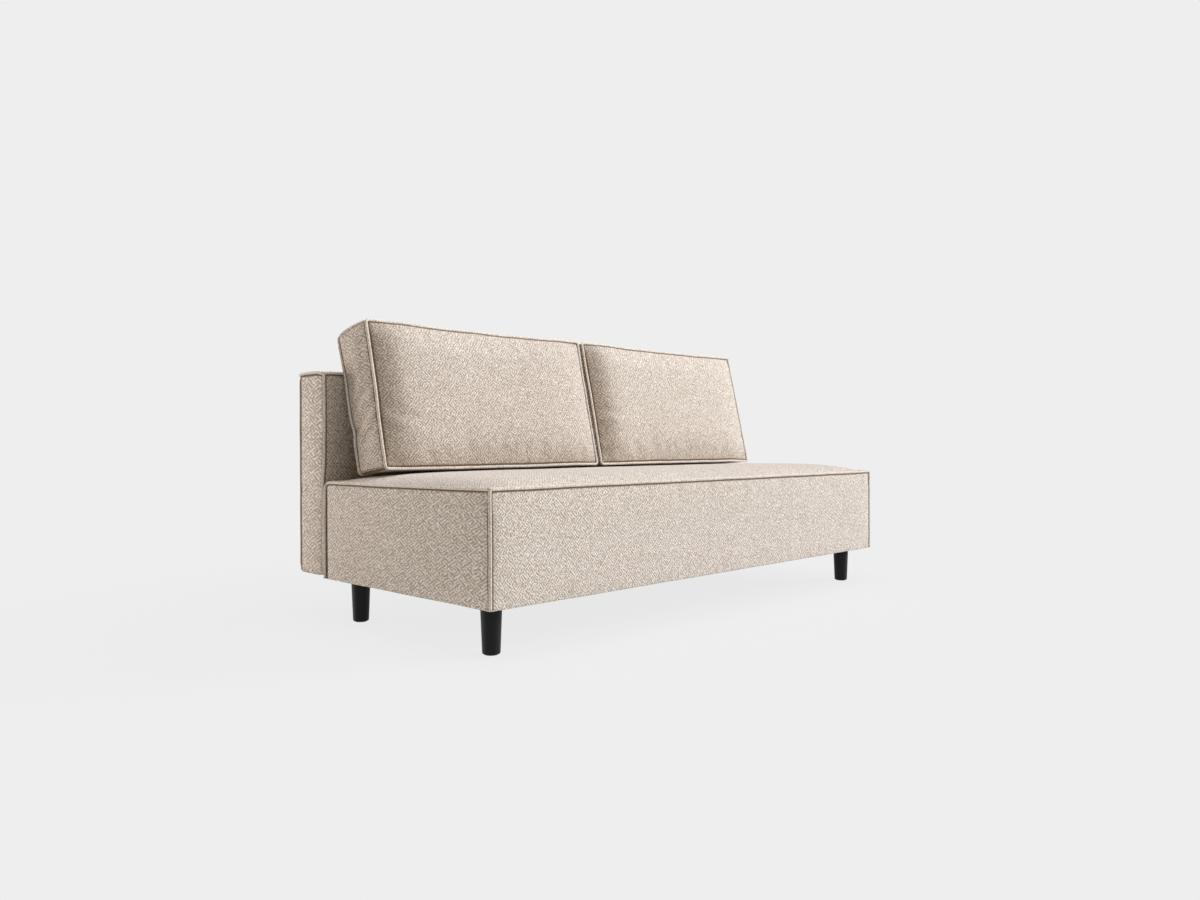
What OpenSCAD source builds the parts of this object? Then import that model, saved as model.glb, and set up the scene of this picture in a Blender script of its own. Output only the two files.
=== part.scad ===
// Armless sofa: a boxy seat on four legs, a slab backrest and two loose back cushions.
// Millimetres. X runs to the right seen from the front, Y to the rear, Z up.
// The origin lies on the floor under the middle of the sofa.

/* [Overall] */
// Width of the sofa over the pipings at its two ends
sofa_w = 1900; // [1500:10:2300]
// Depth of the seat box over its front and rear pipings
seat_d = 808; // [700:1:900]
// Height of the seat box from its turned-in hem to the top of its piping
seat_h = 300; // [270:1:340]
// Thickness of the backrest over its two pipings
back_t = 145; // [125:1:200]
// Height of the backrest over its pipings
back_h = 625; // [580:1:680]
// How much higher the backrest starts than the seat box
back_lift = 11; // [5:1:40]
// Gap between the seat's rear piping and the backrest's front piping
unit_gap = 1; // [0.5:0.1:3]

/* [Cover] */
// Thickness of the woven cover cloth
cloth_t = 2; // [1.5:0.1:2.5]
// Thickness of the sewn piping
piping_d = 8; // [7:0.5:10]
// How far the piping stands out of the cloth beside it
piping_proud = 2.5; // [2:0.1:3.5]
// Middle radius of the piping where it turns a sharp corner
piping_bend = 5; // [5:0.1:5.5]
// Clearance between sewn pieces, and between them and what they cover
cloth_gap = 0.3; // [0.2:0.05:0.5]
// Width of the cloth turned in under the seat
hem_w = 40; // [25:1:50]
// Thickness of the black cloth under the seat
dust_t = 1; // [0.5:0.1:2]
// How far the black cloth stays in from the edge of the seat
dust_inset = 12; // [5:1:20]

/* [Seat] */
// Rise of the seat's top over its seams, at its middle
seat_crown = 31; // [10:1:45]
// Distance over which the seat's top rises at its front and ends
seat_shoulder = 67; // [40:1:120]
// Distance over which the seat's top rises at its rear, where the cushions press on it
seat_rear_shoulder = 100; // [60:1:160]
// Thickness of the padding over the frame's front and ends
side_pad_t = 10; // [5:1:20]
// Thickness of the seat's rails
rail_t = 25; // [18:1:35]
// Height of the front and rear rails
rail_h = 165; // [140:1:180]
// Height of the cross rails
cross_rail_h = 125; // [80:1:135]
// Distance of each cross rail's middle from the middle of the sofa
cross_rail_x = 303; // [200:1:400]
// Thickness of the felt over the springs
felt_t = 5; // [3:1:10]

/* [Springs] */
// Number of zigzag springs
spring_count = 9; // [6:1:16]
// Thickness of the spring wire
wire_t = 3.4; // [2.5:0.1:4.5]
// Width of a spring over its bends
spring_w = 50; // [45:1:60]
// Distance wanted between a spring's runs
spring_pitch = 42; // [30:1:44]
// Thickness of the clip's steel
clip_t = 1.2; // [0.8:0.1:2]
// Width of a clip along the rail
clip_w = 12; // [8:1:20]
// Reach of a clip over the wire
clip_reach = 12; // [8:1:16]
// Clearance between the wire and its clip
clip_gap = 0.3; // [0.2:0.1:0.5]

/* [Legs] */
// Height from the floor to the cloth under the seat
leg_h = 127; // [80:1:160]
// Height of a leg's underside and of all that stands on the glides
glide_proud = 1.5; // [1:0.5:3]
// Diameter of a leg at its top
leg_top_d = 57; // [45:1:65]
// Diameter of a leg at its foot
leg_foot_d = 47.5; // [40:0.5:60]
// Radius of the rounded edge round the foot
leg_edge_r = 5; // [2:0.5:5]
// Distance of a leg's middle from the end of the seat
leg_side_inset = 74; // [72:1:120]
// Distance of a leg's middle from the front or the rear of the seat
leg_end_inset = 88; // [76:1:120]
// Diameter of the glide under a leg
glide_d = 34; // [24:1:34]
// Thickness of the glide
glide_t = 5; // [4:0.5:8]
// Clearance between fitted hard pieces
fit_gap = 0.2; // [0.1:0.05:0.3]

/* [Leg mounting] */
// Side of the square corner block that takes a leg
block_w = 140; // [130:1:180]
// Thickness of the corner block
block_t = 18; // [15:1:30]
// Diameter of the leg's bolt
bolt_d = 8; // [6:1:10]
// Length of the bolt inside the leg
bolt_in_leg = 35; // [20:1:40]
// Length of the bolt that stands out of the corner block
bolt_spare = 5; // [2:1:10]
// Wall of the tee nut's barrel
tee_wall = 1.5; // [1:0.1:2]
// Diameter of the tee nut's flange
tee_flange_d = 24; // [18:1:30]
// Thickness of the tee nut's flange
tee_flange_t = 1.6; // [1:0.1:3]
// Length of the tee nut's barrel
tee_barrel = 12; // [8:1:14]

/* [Backrest] */
// Outer corner radius of the backrest, over its piping
back_corner_r = 18; // [12:1:30]
// Thickness of the foam at the backrest's front
back_foam_t = 50; // [30:1:60]
// Thickness of the padding at the backrest's rear
back_rear_pad_t = 14; // [5:1:20]
// Thickness of the padding over the frame's top and ends
edge_pad_t = 14; // [8:1:25]
// Width of the upright posts
post_w = 45; // [30:1:70]
// Distance of each inner post's middle from the middle of the sofa
post_x = 310; // [200:1:400]
// Height of the top rail
top_rail_h = 70; // [50:1:100]
// Height of the bottom rail
bottom_rail_h = 90; // [80:1:110]
// Height of the wooden board at the foot of the backrest's front
front_board_h = 150; // [110:1:170]
// Number of webbing straps
strap_count = 5; // [3:1:6]
// Width of a webbing strap
strap_w = 50; // [30:1:55]
// Thickness of the webbing
strap_t = 1.5; // [1:0.1:3]

/* [Joining bolts] */
// Distance of the outer joining bolts from the middle of the sofa
join_outer_x = 700; // [500:1:720]
// Distance of the inner joining bolts from the middle of the sofa
join_inner_x = 220; // [80:1:230]
// Height of the joining bolts over the foot of the backrest's frame
join_rise = 50; // [30:1:60]
// Diameter of a joining bolt
join_d = 8; // [6:1:10]
// Diameter of a joining bolt's head
join_head_d = 14; // [13:1:18]
// Thickness of a joining bolt's head
join_head_t = 6; // [4:1:8]

/* [Back cushions] */
// Distance of a cushion's outer side in from the end of the sofa
cushion_side_in = 51; // [0:1:120]
// Gap between the side pipings of the two cushions
cushion_gap = 14; // [10:1:60]
// Thickness of a cushion at its foot
cushion_foot_t = 150; // [130:1:180]
// Height of a cushion's front
cushion_front_h = 458; // [400:1:500]
// Height of a cushion's back
cushion_back_h = 450; // [400:1:490]
// Lean of a cushion's front, in degrees from upright
front_lean = 12.9; // [10:0.1:14]
// Lean of a cushion's back, in degrees from upright
back_lean = 17; // [14:0.1:18]
// Slope of a cushion's foot down to the rear, in degrees
foot_slope = 7.2; // [4:0.1:10]
// Crown of a cushion's front at its middle
front_crown = 30; // [5:1:45]
// Crown of a cushion's back, away from where it leans on the backrest
back_crown = 12; // [0:1:20]
// How far the sides of a cushion are drawn in between its corners
side_draw = 4; // [0:1:15]
// How far the top of a cushion sags between its corners
top_sag = 6; // [0:1:12]
// Clearance of a cushion from the seat and from the backrest that carry it
rest_gap = 0.35; // [0.3:0.05:0.6]

/* [Zips] */
// Distance of the zip from the rear piping, along the cushion's foot
zip_from_rear = 45; // [35:1:70]
// Distance of each end of the zip from the middle of the side piping
zip_end = 60; // [50:1:120]
// Width of the opening between the two base panels that shows the zip
zip_opening = 16; // [15:1:24]
// Width of one zip tape
zip_tape_w = 13; // [12:1:18]
// Thickness of a zip tape
zip_tape_t = 0.8; // [0.5:0.1:1]
// Width of the teeth on one tape
zip_teeth_w = 2.2; // [1.5:0.1:3]
// Height of the teeth over the tape
zip_teeth_t = 1.6; // [1:0.1:2]
// Length of the slider's body
slider_l = 12; // [8:1:20]
// Width of the slider's body
slider_w = 9; // [7:0.5:10]
// Thickness of each of the slider's two plates
slider_t = 1; // [0.8:0.1:1.2]
// Thickness of the post between the slider's plates
slider_post = 1.6; // [1:0.1:2]
// Length of the slider's pull
pull_l = 24; // [15:1:35]
// Clearance of the slider from the teeth
slider_gap = 0.25; // [0.2:0.05:0.4]

/* [Hidden] */

cloth_colour = [0.79, 0.73, 0.65];
piping_colour = [0.84, 0.79, 0.71];
wood_colour = [0.82, 0.68, 0.48];
steel_colour = [0.62, 0.64, 0.67];
foam_colour = [0.94, 0.89, 0.72];
padding_colour = [0.93, 0.93, 0.90];
felt_colour = [0.45, 0.44, 0.42];
black_colour = [0.06, 0.06, 0.06];
webbing_colour = [0.30, 0.28, 0.25];

// Sides of the round pieces: the legs, and all smaller ones
leg_sides = 32;
round_sides = 16;
// Steps of a quarter turn in cut-out outlines, and of a half turn in a spring's bend
corner_steps = 4;
bend_steps = 2;
// Sides of a piping's round section
piping_sides = 8;
cushion_piping_sides = 6;
// Spans of the grids that carry the crowned surfaces
seat_spans = [14, 8];
cushion_spans = [10, 6];
// How far a cutting solid runs past what it cuts
overrun = 1;

piping_r = piping_d / 2;
// Outer faces of the cloth and of what it covers, measured in from the outside of the piping
cloth_in = piping_proud + cloth_t;
fill_in = cloth_in + cloth_gap;
// Edge of a panel beside a piping, measured in from the outside of that piping
seam_in = piping_d + cloth_gap;
// Bevel that keeps the fill's edges clear of the piping
fill_bevel = (piping_r + cloth_gap) * sqrt(2) - 2 * (fill_in - piping_r);

// Levels
box_z = leg_h + dust_t;
frame_z = box_z + cloth_t;
seat_top = box_z + seat_h;
seat_side_top = seat_top - seam_in;
rail_top = frame_z + rail_h;
clip_h = 2 * (clip_t + clip_gap) + wire_t;
felt_z = rail_top + clip_h;
foam_z = felt_z + felt_t;
seam_z = seat_top - piping_proud;

// Ends and sides of the seat box and of the backrest
half_w = sofa_w / 2;
front_y = -(seat_d + unit_gap + back_t) / 2;
rear_y = front_y + seat_d;
seat_mid_y = (front_y + rear_y) / 2;
back_y = rear_y + unit_gap;
back_z = box_z + back_lift;
back_mid_z = back_z + back_h / 2;

// Frame of the seat
rail_x = half_w - fill_in - side_pad_t;
front_rail_y = front_y + fill_in + side_pad_t;
rear_rail_y = rear_y - fill_in - rail_t;
inner_front_y = front_rail_y + rail_t;
bolt_r = bolt_d / 2;
tee_r = bolt_r + fit_gap + tee_wall;
leg_x = half_w - leg_side_inset;
leg_front_y = front_y + leg_end_inset;
leg_rear_y = rear_y - leg_end_inset;

// Frame of the backrest
back_foam_y = back_y + fill_in;
strap_y = back_foam_y + back_foam_t;
post_y = strap_y + strap_t;
rear_pad_y = back_y + back_t - fill_in - back_rear_pad_t;
post_d = rear_pad_y - post_y;
post_in = max(fill_in + edge_pad_t, back_corner_r + cloth_gap);
back_frame_z = back_z + fill_in;
back_frame_top = back_z + back_h - post_in;
post_out_x = half_w - post_in;
join_z = back_frame_z + join_rise;
join_xs = [-join_outer_x, -join_inner_x, join_inner_x, join_outer_x];
join_hole_r = join_d / 2 + fit_gap;
join_tee_r = join_hole_r + tee_wall;

// Where a cushion stands: its rear foot rests on the seat, its back on the backrest's front piping
cushion_w = half_w - cushion_side_in - cushion_gap / 2 - piping_d;
cushion_half = cushion_w / 2;
cushion_mid_x = cushion_gap / 2 + piping_r + cushion_half;
lean_y = back_y + piping_r;
lean_z = back_z + back_h - piping_r;
lean_off = 2 * piping_r + rest_gap;
function foot_y_at(z) = lean_y - (lean_off + (lean_z - z) * sin(back_lean)) / cos(back_lean);
function foot_z_at(y) = crown_z(cushion_mid_x, y) + piping_r + rest_gap;
foot_y_1 = foot_y_at(seam_z + seat_crown);
foot_y_2 = foot_y_at(foot_z_at(foot_y_1));
foot_y = foot_y_at(foot_z_at(foot_y_2));
foot_z = foot_z_at(foot_y);
toe_y = foot_y - cushion_foot_t * cos(foot_slope);
toe_z = foot_z + cushion_foot_t * sin(foot_slope);
zip_l = cushion_w - 2 * zip_end;
lean_share = (lean_z - foot_z) / cos(back_lean) / cushion_back_h;
// Height over which the backrest presses the cushion's back flat, as a share of that back
press_share = 0.3;

// How steeply a crown rounds over towards its seams
crown_power = 3;

function rise(distance, reach) = 1 - exp(-max(distance, 0) / reach);
// Outer face of the seat's top
function crown_z(x, y) = seam_z + seat_crown
    * rise(half_w - seam_in + x, seat_shoulder) * rise(half_w - seam_in - x, seat_shoulder)
    * rise(y - front_y - seam_in, seat_shoulder)
    * rise(rear_y - seam_in - y, seat_rear_shoulder);

function unit(v) = v / norm(v);
function wave(i, n) = -cos(180 * i / n);

// A rectangle with rounded corners round the origin
function round_rect(w, h, r) = [for (q = [0:3], k = [0:corner_steps]) let (
    a = 90 * (q + k / corner_steps),
    x = (w / 2 - r) * (q == 0 || q == 3 ? 1 : -1),
    y = (h / 2 - r) * (q < 2 ? 1 : -1))
    [x + r * cos(a), y + r * sin(a)]];

// Numbers of a grid's rim points, in order round it
function rim(nu, nv) = concat(
    [for (i = [0:nu - 1]) [i, 0]],
    [for (j = [0:nv - 1]) [nu, j]],
    [for (i = [nu:-1:1]) [i, nv]],
    [for (j = [nv:-1:1]) [0, j]]);

// Two triangles over the corners a, b, c, d, named round the face
function two(a, b, c, d) = [[a, b, c], [a, c, d]];
function grid_faces(nu, nv, first, flip) = [for (i = [0:nu - 1], j = [0:nv - 1]) let (
    a = first + i * (nv + 1) + j,
    b = a + nv + 1)
    for (t = flip ? two(a, b, b + 1, a + 1) : two(a, a + 1, b + 1, b)) t];

// A closed solid between two grids, with rings of rim points between them
module grid_solid(spans, front, rings, back) {
    nu = spans[0];
    nv = spans[1];
    n = (nu + 1) * (nv + 1);
    rim_ij = rim(nu, nv);
    p = len(rim_ij);
    m = len(rings);
    rim_at = [for (ij = rim_ij) ij[0] * (nv + 1) + ij[1]];
    rows = concat(
        [rim_at],
        [for (k = [0:1:m - 1]) [for (i = [0:p - 1]) n + k * p + i]],
        [[for (i = rim_at) n + m * p + i]]);
    bands = [for (k = [0:m], i = [0:p - 1]) let (j = (i + 1) % p)
        for (t = two(rows[k][i], rows[k][j], rows[k + 1][j], rows[k + 1][i])) t];
    polyhedron(
        concat(front, [for (ring = rings, q = ring) q], back),
        concat(grid_faces(nu, nv, 0, false), bands, grid_faces(nu, nv, n + m * p, true)));
}

// Rings of a strip or a tube joined into a solid, closed on itself or capped at its ends
module swept(rings, closed) {
    m = len(rings);
    n = len(rings[0]);
    last = closed ? m - 1 : m - 2;
    sides = [for (k = [0:last], i = [0:n - 1]) let (
        k2 = (k + 1) % m,
        i2 = (i + 1) % n)
        for (t = two(k * n + i, k * n + i2, k2 * n + i2, k2 * n + i)) t];
    caps = closed ? [] : concat(
        [for (i = [1:n - 2]) [0, i + 1, i]],
        [for (i = [1:n - 2]) [last * n + n, last * n + n + i, last * n + n + i + 1]]);
    polyhedron([for (ring = rings, q = ring) q], concat(sides, caps));
}

// Round piping along a closed path that lies about square to the direction out
module piping(path, out, sides) {
    m = len(path);
    swept([for (i = [0:m - 1]) let (
        before = unit(path[i] - path[(i + m - 1) % m]),
        after = unit(path[(i + 1) % m] - path[i]),
        ahead = unit(before + after),
        across = unit(cross(ahead, out)),
        lift = cross(across, ahead),
        stretch = 1 / (before * ahead))
        [for (k = [0:sides - 1]) let (a = 360 * (k + 0.5) / sides)
            path[i] + piping_r * (cos(a) * stretch * across + sin(a) * lift)]], true);
}

module corners(x, front, rear) {
    for (side = [-1, 1], y = [front, rear]) translate([side * x, y, 0]) children();
}

module box(low, high) {
    translate(low) cube(high - low);
}

// A slice of the backrest, in from its outline by some distance, between two depths
module back_slice(inset, y0, y1) {
    translate([0, y1, back_mid_z]) rotate([90, 0, 0]) linear_extrude(y1 - y0)
        polygon(round_rect(sofa_w - 2 * inset, back_h - 2 * inset, back_corner_r - inset));
}

// Seat frame

module seat_front_rail() {
    color(wood_colour) box([-rail_x, front_rail_y, frame_z], [rail_x, inner_front_y, rail_top]);
}

module seat_rear_rail() {
    color(wood_colour) difference() {
        box([-rail_x, rear_rail_y, frame_z], [rail_x, rear_rail_y + rail_t, rail_top]);
        join_holes(rear_rail_y, rear_rail_y + rail_t, join_hole_r);
    }
}

module seat_end_rail(side) {
    inner = side * (rail_x - rail_t);
    color(wood_colour) box(
        [min(side * rail_x, inner), inner_front_y, frame_z],
        [max(side * rail_x, inner), rear_rail_y, felt_z]);
}

module seat_cross_rails() {
    color(wood_colour) for (x = [-cross_rail_x, cross_rail_x]) box(
        [x - rail_t / 2, inner_front_y, frame_z],
        [x + rail_t / 2, rear_rail_y, frame_z + cross_rail_h]);
}

module seat_corner_blocks() {
    inner_x = rail_x - rail_t;
    color(wood_colour) difference() {
        for (side = [-1, 1], y = [inner_front_y, rear_rail_y - block_w]) box(
            [side > 0 ? inner_x - block_w : -inner_x, y, frame_z],
            [side > 0 ? inner_x : block_w - inner_x, y + block_w, frame_z + block_t]);
        corners(leg_x, leg_front_y, leg_rear_y) translate([0, 0, frame_z - overrun])
            cylinder(h = block_t + 2 * overrun, r = tee_r + fit_gap, $fn = round_sides);
    }
}

// Seat suspension

spring_y0 = front_rail_y + rail_t / 2;
spring_span = rear_rail_y + rail_t / 2 - spring_y0;
spring_runs = round(spring_span / spring_pitch) + 1;
run_gap = spring_span / (spring_runs - 1);
spring_step = 2 * (rail_x - rail_t) / spring_count;
spring_xs = [for (i = [0:spring_count - 1]) (i + 0.5) * spring_step - rail_x + rail_t];

// Middle line of a spring and the direction to its left: [point, left]
function spring_line(reach, turn) = concat(
    [[[-reach, 0], [0, 1]]],
    [for (i = [0:spring_runs - 2], k = [0:bend_steps]) let (
        d = i % 2 == 0 ? 1 : -1,
        a = 180 * k / bend_steps - 90)
        [[d * (reach + turn * cos(a)), i * run_gap + turn * (1 + sin(a))],
            [-cos(a), -d * sin(a)]]],
    [[[(spring_runs % 2 == 0 ? -1 : 1) * reach, spring_span],
        [0, spring_runs % 2 == 0 ? -1 : 1]]]);

module seat_springs() {
    turn = run_gap / 2;
    line = spring_line((spring_w - run_gap) / 2, turn);
    half = wire_t / 2;
    outline = concat(
        [for (p = line) p[0] - half * p[1]],
        [for (i = [len(line) - 1:-1:0]) line[i][0] + half * line[i][1]]);
    color(steel_colour) for (x = spring_xs)
        translate([x, spring_y0, rail_top + clip_t + clip_gap])
            linear_extrude(wire_t) polygon(outline);
}

module spring_clip() {
    back = wire_t / 2 + clip_gap + clip_t;
    rotate([90, 0, 90]) translate([0, 0, -clip_w / 2]) linear_extrude(clip_w) difference() {
        translate([-back, 0]) square([clip_reach, clip_h]);
        translate([clip_t - back, clip_t]) square([clip_reach, clip_h - 2 * clip_t]);
    }
}

module seat_spring_clips() {
    color(steel_colour) for (x = spring_xs) {
        translate([x, spring_y0, rail_top]) spring_clip();
        translate([x, spring_y0 + spring_span, rail_top]) rotate(180) spring_clip();
    }
}

module seat_felt() {
    color(felt_colour)
        box([-rail_x, front_rail_y, felt_z], [rail_x, rear_rail_y + rail_t, foam_z]);
}

// A strip along the front and one along each end
module seat_side_padding() {
    color(padding_colour) {
        box([seam_in - half_w, front_y + fill_in, frame_z], [half_w - seam_in, front_rail_y, foam_z]);
        for (side = [-1, 1]) box(
            [side > 0 ? rail_x : fill_in - half_w, front_rail_y + cloth_gap, frame_z],
            [side > 0 ? half_w - fill_in : -rail_x, rear_y - seam_in, foam_z]);
    }
}

// Seat foam and cover

// Points of a grid over the seat, in from its outline by some distance, at the height of a formula
function seat_grid(inset, drop, level) = [for (i = [0:seat_spans[0]], j = [0:seat_spans[1]]) let (
    x = wave(i, seat_spans[0]) * (half_w - inset),
    y = seat_mid_y + wave(j, seat_spans[1]) * (seat_d / 2 - inset))
    [x, y, is_undef(level) ? crown_z(x, y) - drop : level]];

// The outline of the seat's foam at one level, with its upright edges bevelled
function seat_ring(level) = [for (ij = rim(seat_spans[0], seat_spans[1])) let (
    u = wave(ij[0], seat_spans[0]),
    v = wave(ij[1], seat_spans[1]),
    cut = abs(u) == 1 && abs(v) == 1 ? fill_bevel / 2 : 0)
    [u * (half_w - fill_in - cut), seat_mid_y + v * (seat_d / 2 - fill_in - cut), level]];

module seat_foam() {
    top_in = fill_in + fill_bevel;
    color(foam_colour) grid_solid(
        seat_spans,
        seat_grid(top_in, cloth_t + cloth_gap),
        [seat_ring(seam_z - cloth_t - cloth_gap - fill_bevel), seat_ring(foam_z)],
        seat_grid(top_in, 0, foam_z));
}

module seat_top_panel() {
    color(cloth_colour) grid_solid(
        seat_spans, seat_grid(seam_in, 0), [], seat_grid(seam_in, cloth_t));
}

// A wall of the seat's cover with its turned-in hem, along X, outer face at the given place
module seat_long_panel(outer_y, toward) {
    inner_y = outer_y + toward * cloth_t;
    hem_y = outer_y + toward * hem_w;
    box([seam_in - half_w, min(outer_y, inner_y), box_z],
        [half_w - seam_in, max(outer_y, inner_y), seat_side_top]);
    box([seam_in - half_w, min(outer_y, hem_y), box_z],
        [half_w - seam_in, max(outer_y, hem_y), frame_z]);
}

module seat_front_panel() {
    color(cloth_colour) seat_long_panel(front_y + piping_proud, 1);
}

module seat_rear_panel() {
    outer = rear_y - piping_proud;
    color(cloth_colour) difference() {
        seat_long_panel(outer, -1);
        join_holes(outer - cloth_t, outer, join_hole_r);
    }
}

module seat_end_panel(side) {
    outer = half_w - piping_proud;
    hem_in = piping_proud + hem_w + cloth_gap;
    color(cloth_colour) scale([side, 1, 1]) {
        box([outer - cloth_t, front_y + seam_in, box_z], [outer, rear_y - seam_in, seat_side_top]);
        box([outer - hem_w, front_y + hem_in, box_z], [outer, rear_y - hem_in, frame_z]);
    }
}

module seat_top_piping() {
    flat = round_rect(sofa_w - piping_d, seat_d - piping_d, piping_bend);
    color(piping_colour) piping(
        [for (p = flat) [p[0], p[1] + seat_mid_y, seat_top - piping_r]], [0, 0, 1], piping_sides);
}

module seat_corner_pipings() {
    color(piping_colour) corners(half_w - piping_r, front_y + piping_r, rear_y - piping_r)
        translate([0, 0, box_z]) cylinder(h = seat_side_top - box_z, r = piping_r, $fn = round_sides);
}

module seat_dust_cloth() {
    color(black_colour) difference() {
        box([dust_inset - half_w, front_y + dust_inset, leg_h],
            [half_w - dust_inset, rear_y - dust_inset, box_z]);
        corners(leg_x, leg_front_y, leg_rear_y) translate([0, 0, leg_h - overrun])
            cylinder(h = dust_t + 2 * overrun, r = bolt_r + fit_gap, $fn = round_sides);
    }
}

// Legs

module leg(side, y) {
    foot_r = leg_foot_d / 2;
    edge = [for (k = [0:corner_steps]) let (a = 90 * k / corner_steps)
        [foot_r - leg_edge_r * (1 - sin(a)), glide_proud + leg_edge_r * (1 - cos(a))]];
    color(black_colour) translate([side * leg_x, y, 0]) difference() {
        rotate_extrude($fn = leg_sides)
            polygon(concat([[0, glide_proud]], edge, [[leg_top_d / 2, leg_h], [0, leg_h]]));
        cylinder(h = glide_t + fit_gap, r = glide_d / 2 + fit_gap, $fn = round_sides);
        translate([0, 0, leg_h - bolt_in_leg - fit_gap])
            cylinder(h = bolt_in_leg + fit_gap + overrun, r = bolt_r + fit_gap, $fn = round_sides);
    }
}

module leg_bolts() {
    base = leg_h - bolt_in_leg;
    top = frame_z + block_t + bolt_spare;
    color(steel_colour) corners(leg_x, leg_front_y, leg_rear_y)
        translate([0, 0, base]) cylinder(h = top - base, r = bolt_r, $fn = round_sides);
}

// A tee nut with its flange at the origin and its barrel below
module tee_nut(hole_r, barrel_r) {
    difference() {
        union() {
            cylinder(h = tee_flange_t, r = tee_flange_d / 2, $fn = round_sides);
            translate([0, 0, -tee_barrel]) cylinder(h = tee_barrel, r = barrel_r, $fn = round_sides);
        }
        translate([0, 0, -tee_barrel - overrun])
            cylinder(h = tee_barrel + tee_flange_t + 2 * overrun, r = hole_r, $fn = round_sides);
    }
}

module leg_tee_nuts() {
    color(steel_colour) corners(leg_x, leg_front_y, leg_rear_y)
        translate([0, 0, frame_z + block_t]) tee_nut(bolt_r + fit_gap, tee_r);
}

module leg_glides() {
    color(black_colour) corners(leg_x, leg_front_y, leg_rear_y)
        cylinder(h = glide_t, r = glide_d / 2, $fn = round_sides);
}

// Backrest frame

module back_top_rail() {
    color(wood_colour) box(
        [post_w - post_out_x, post_y, back_frame_top - top_rail_h],
        [post_out_x - post_w, rear_pad_y, back_frame_top]);
}

module back_bottom_rail() {
    color(wood_colour) difference() {
        box([post_w - post_out_x, post_y, back_frame_z],
            [post_out_x - post_w, rear_pad_y, back_frame_z + bottom_rail_h]);
        join_holes(post_y, rear_pad_y, join_tee_r + fit_gap);
        join_holes(rear_pad_y - tee_flange_t, rear_pad_y, tee_flange_d / 2 + fit_gap);
    }
}

module back_end_post(side) {
    color(wood_colour) scale([side, 1, 1])
        box([post_out_x - post_w, post_y, back_frame_z], [post_out_x, rear_pad_y, back_frame_top]);
}

module back_inner_posts() {
    color(wood_colour) for (x = [-post_x, post_x]) box(
        [x - post_w / 2, post_y, back_frame_z + bottom_rail_h],
        [x + post_w / 2, rear_pad_y, back_frame_top - top_rail_h]);
}

// The foam and the board at the front share this body, stepped back round the front piping
module front_layer() {
    step_y = back_y + seam_in;
    back_slice(seam_in, back_foam_y, step_y);
    back_slice(fill_in, step_y, strap_y);
}

module below_board(top) {
    box([-half_w, back_y, back_z], [half_w, back_y + back_t, top]);
}

board_top = back_frame_z + front_board_h;

module back_front_board() {
    color(wood_colour) difference() {
        intersection() {
            front_layer();
            below_board(board_top);
        }
        join_holes(back_foam_y, strap_y, join_hole_r);
    }
}

module back_foam() {
    color(foam_colour) difference() {
        front_layer();
        below_board(board_top);
    }
}

module back_webbing() {
    low = board_top;
    high = back_frame_top - top_rail_h;
    step = (high - low) / strap_count;
    color(webbing_colour) for (i = [0:strap_count - 1])
        translate([0, 0, low + (i + 0.5) * step])
            box([-post_out_x, strap_y, -strap_w / 2], [post_out_x, post_y, strap_w / 2]);
}

// A strip over the top and one down each end
module back_edge_padding() {
    low_y = post_y - overrun;
    high_y = rear_pad_y + overrun;
    color(padding_colour) difference() {
        back_slice(fill_in, post_y, rear_pad_y);
        box([-post_out_x, low_y, back_z], [post_out_x, high_y, back_frame_top]);
        box([-half_w, low_y, back_frame_top - cloth_gap], [half_w, high_y, back_frame_top]);
    }
}

module back_rear_padding() {
    step_y = back_y + back_t - seam_in;
    end_y = back_y + back_t - fill_in;
    color(padding_colour) {
        back_slice(fill_in, rear_pad_y, step_y);
        back_slice(seam_in, step_y, end_y);
    }
}

// Backrest cover

module back_front_panel() {
    outer = back_y + piping_proud;
    color(cloth_colour) difference() {
        back_slice(seam_in, outer, outer + cloth_t);
        join_holes(outer, outer + cloth_t, join_hole_r);
    }
}

module back_rear_panel() {
    outer = back_y + back_t - piping_proud;
    color(cloth_colour) back_slice(seam_in, outer - cloth_t, outer);
}

module back_boxing() {
    y0 = back_y + seam_in;
    y1 = back_y + back_t - seam_in;
    color(cloth_colour) difference() {
        back_slice(piping_proud, y0, y1);
        back_slice(cloth_in, y0 - overrun, y1 + overrun);
    }
}

module back_loop(y) {
    flat = round_rect(sofa_w - piping_d, back_h - piping_d, back_corner_r - piping_r);
    color(piping_colour)
        piping([for (p = flat) [p[0], y, p[1] + back_mid_z]], [0, -1, 0], piping_sides);
}

// Joining bolts

module join_holes(y0, y1, r) {
    for (x = join_xs) translate([x, y1 + overrun, join_z]) rotate([90, 0, 0])
        cylinder(h = y1 - y0 + 2 * overrun, r = r, $fn = round_sides);
}

module joining_bolts() {
    color(steel_colour) for (x = join_xs) translate([x, 0, join_z]) {
        translate([0, rear_pad_y - tee_flange_t, 0]) rotate([90, 0, 0])
            cylinder(h = rear_pad_y - tee_flange_t - rear_rail_y, r = join_d / 2, $fn = round_sides);
        translate([0, rear_rail_y, 0]) rotate([90, 0, 0])
            cylinder(h = join_head_t, r = join_head_d / 2, $fn = 6);
        translate([0, rear_pad_y - tee_flange_t, 0]) rotate([-90, 0, 0])
            tee_nut(join_hole_r, join_tee_r);
    }
}

// Back cushions

toe = [toe_y, toe_z];
foot = [foot_y, foot_z];
front_up = [sin(front_lean), cos(front_lean)];
back_up = [sin(back_lean), cos(back_lean)];
front_out = [-cos(front_lean), sin(front_lean)];
back_out = [cos(back_lean), -sin(back_lean)];
base_out = [-sin(foot_slope), -cos(foot_slope)];
base_rearward = [cos(foot_slope), -sin(foot_slope)];

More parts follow.
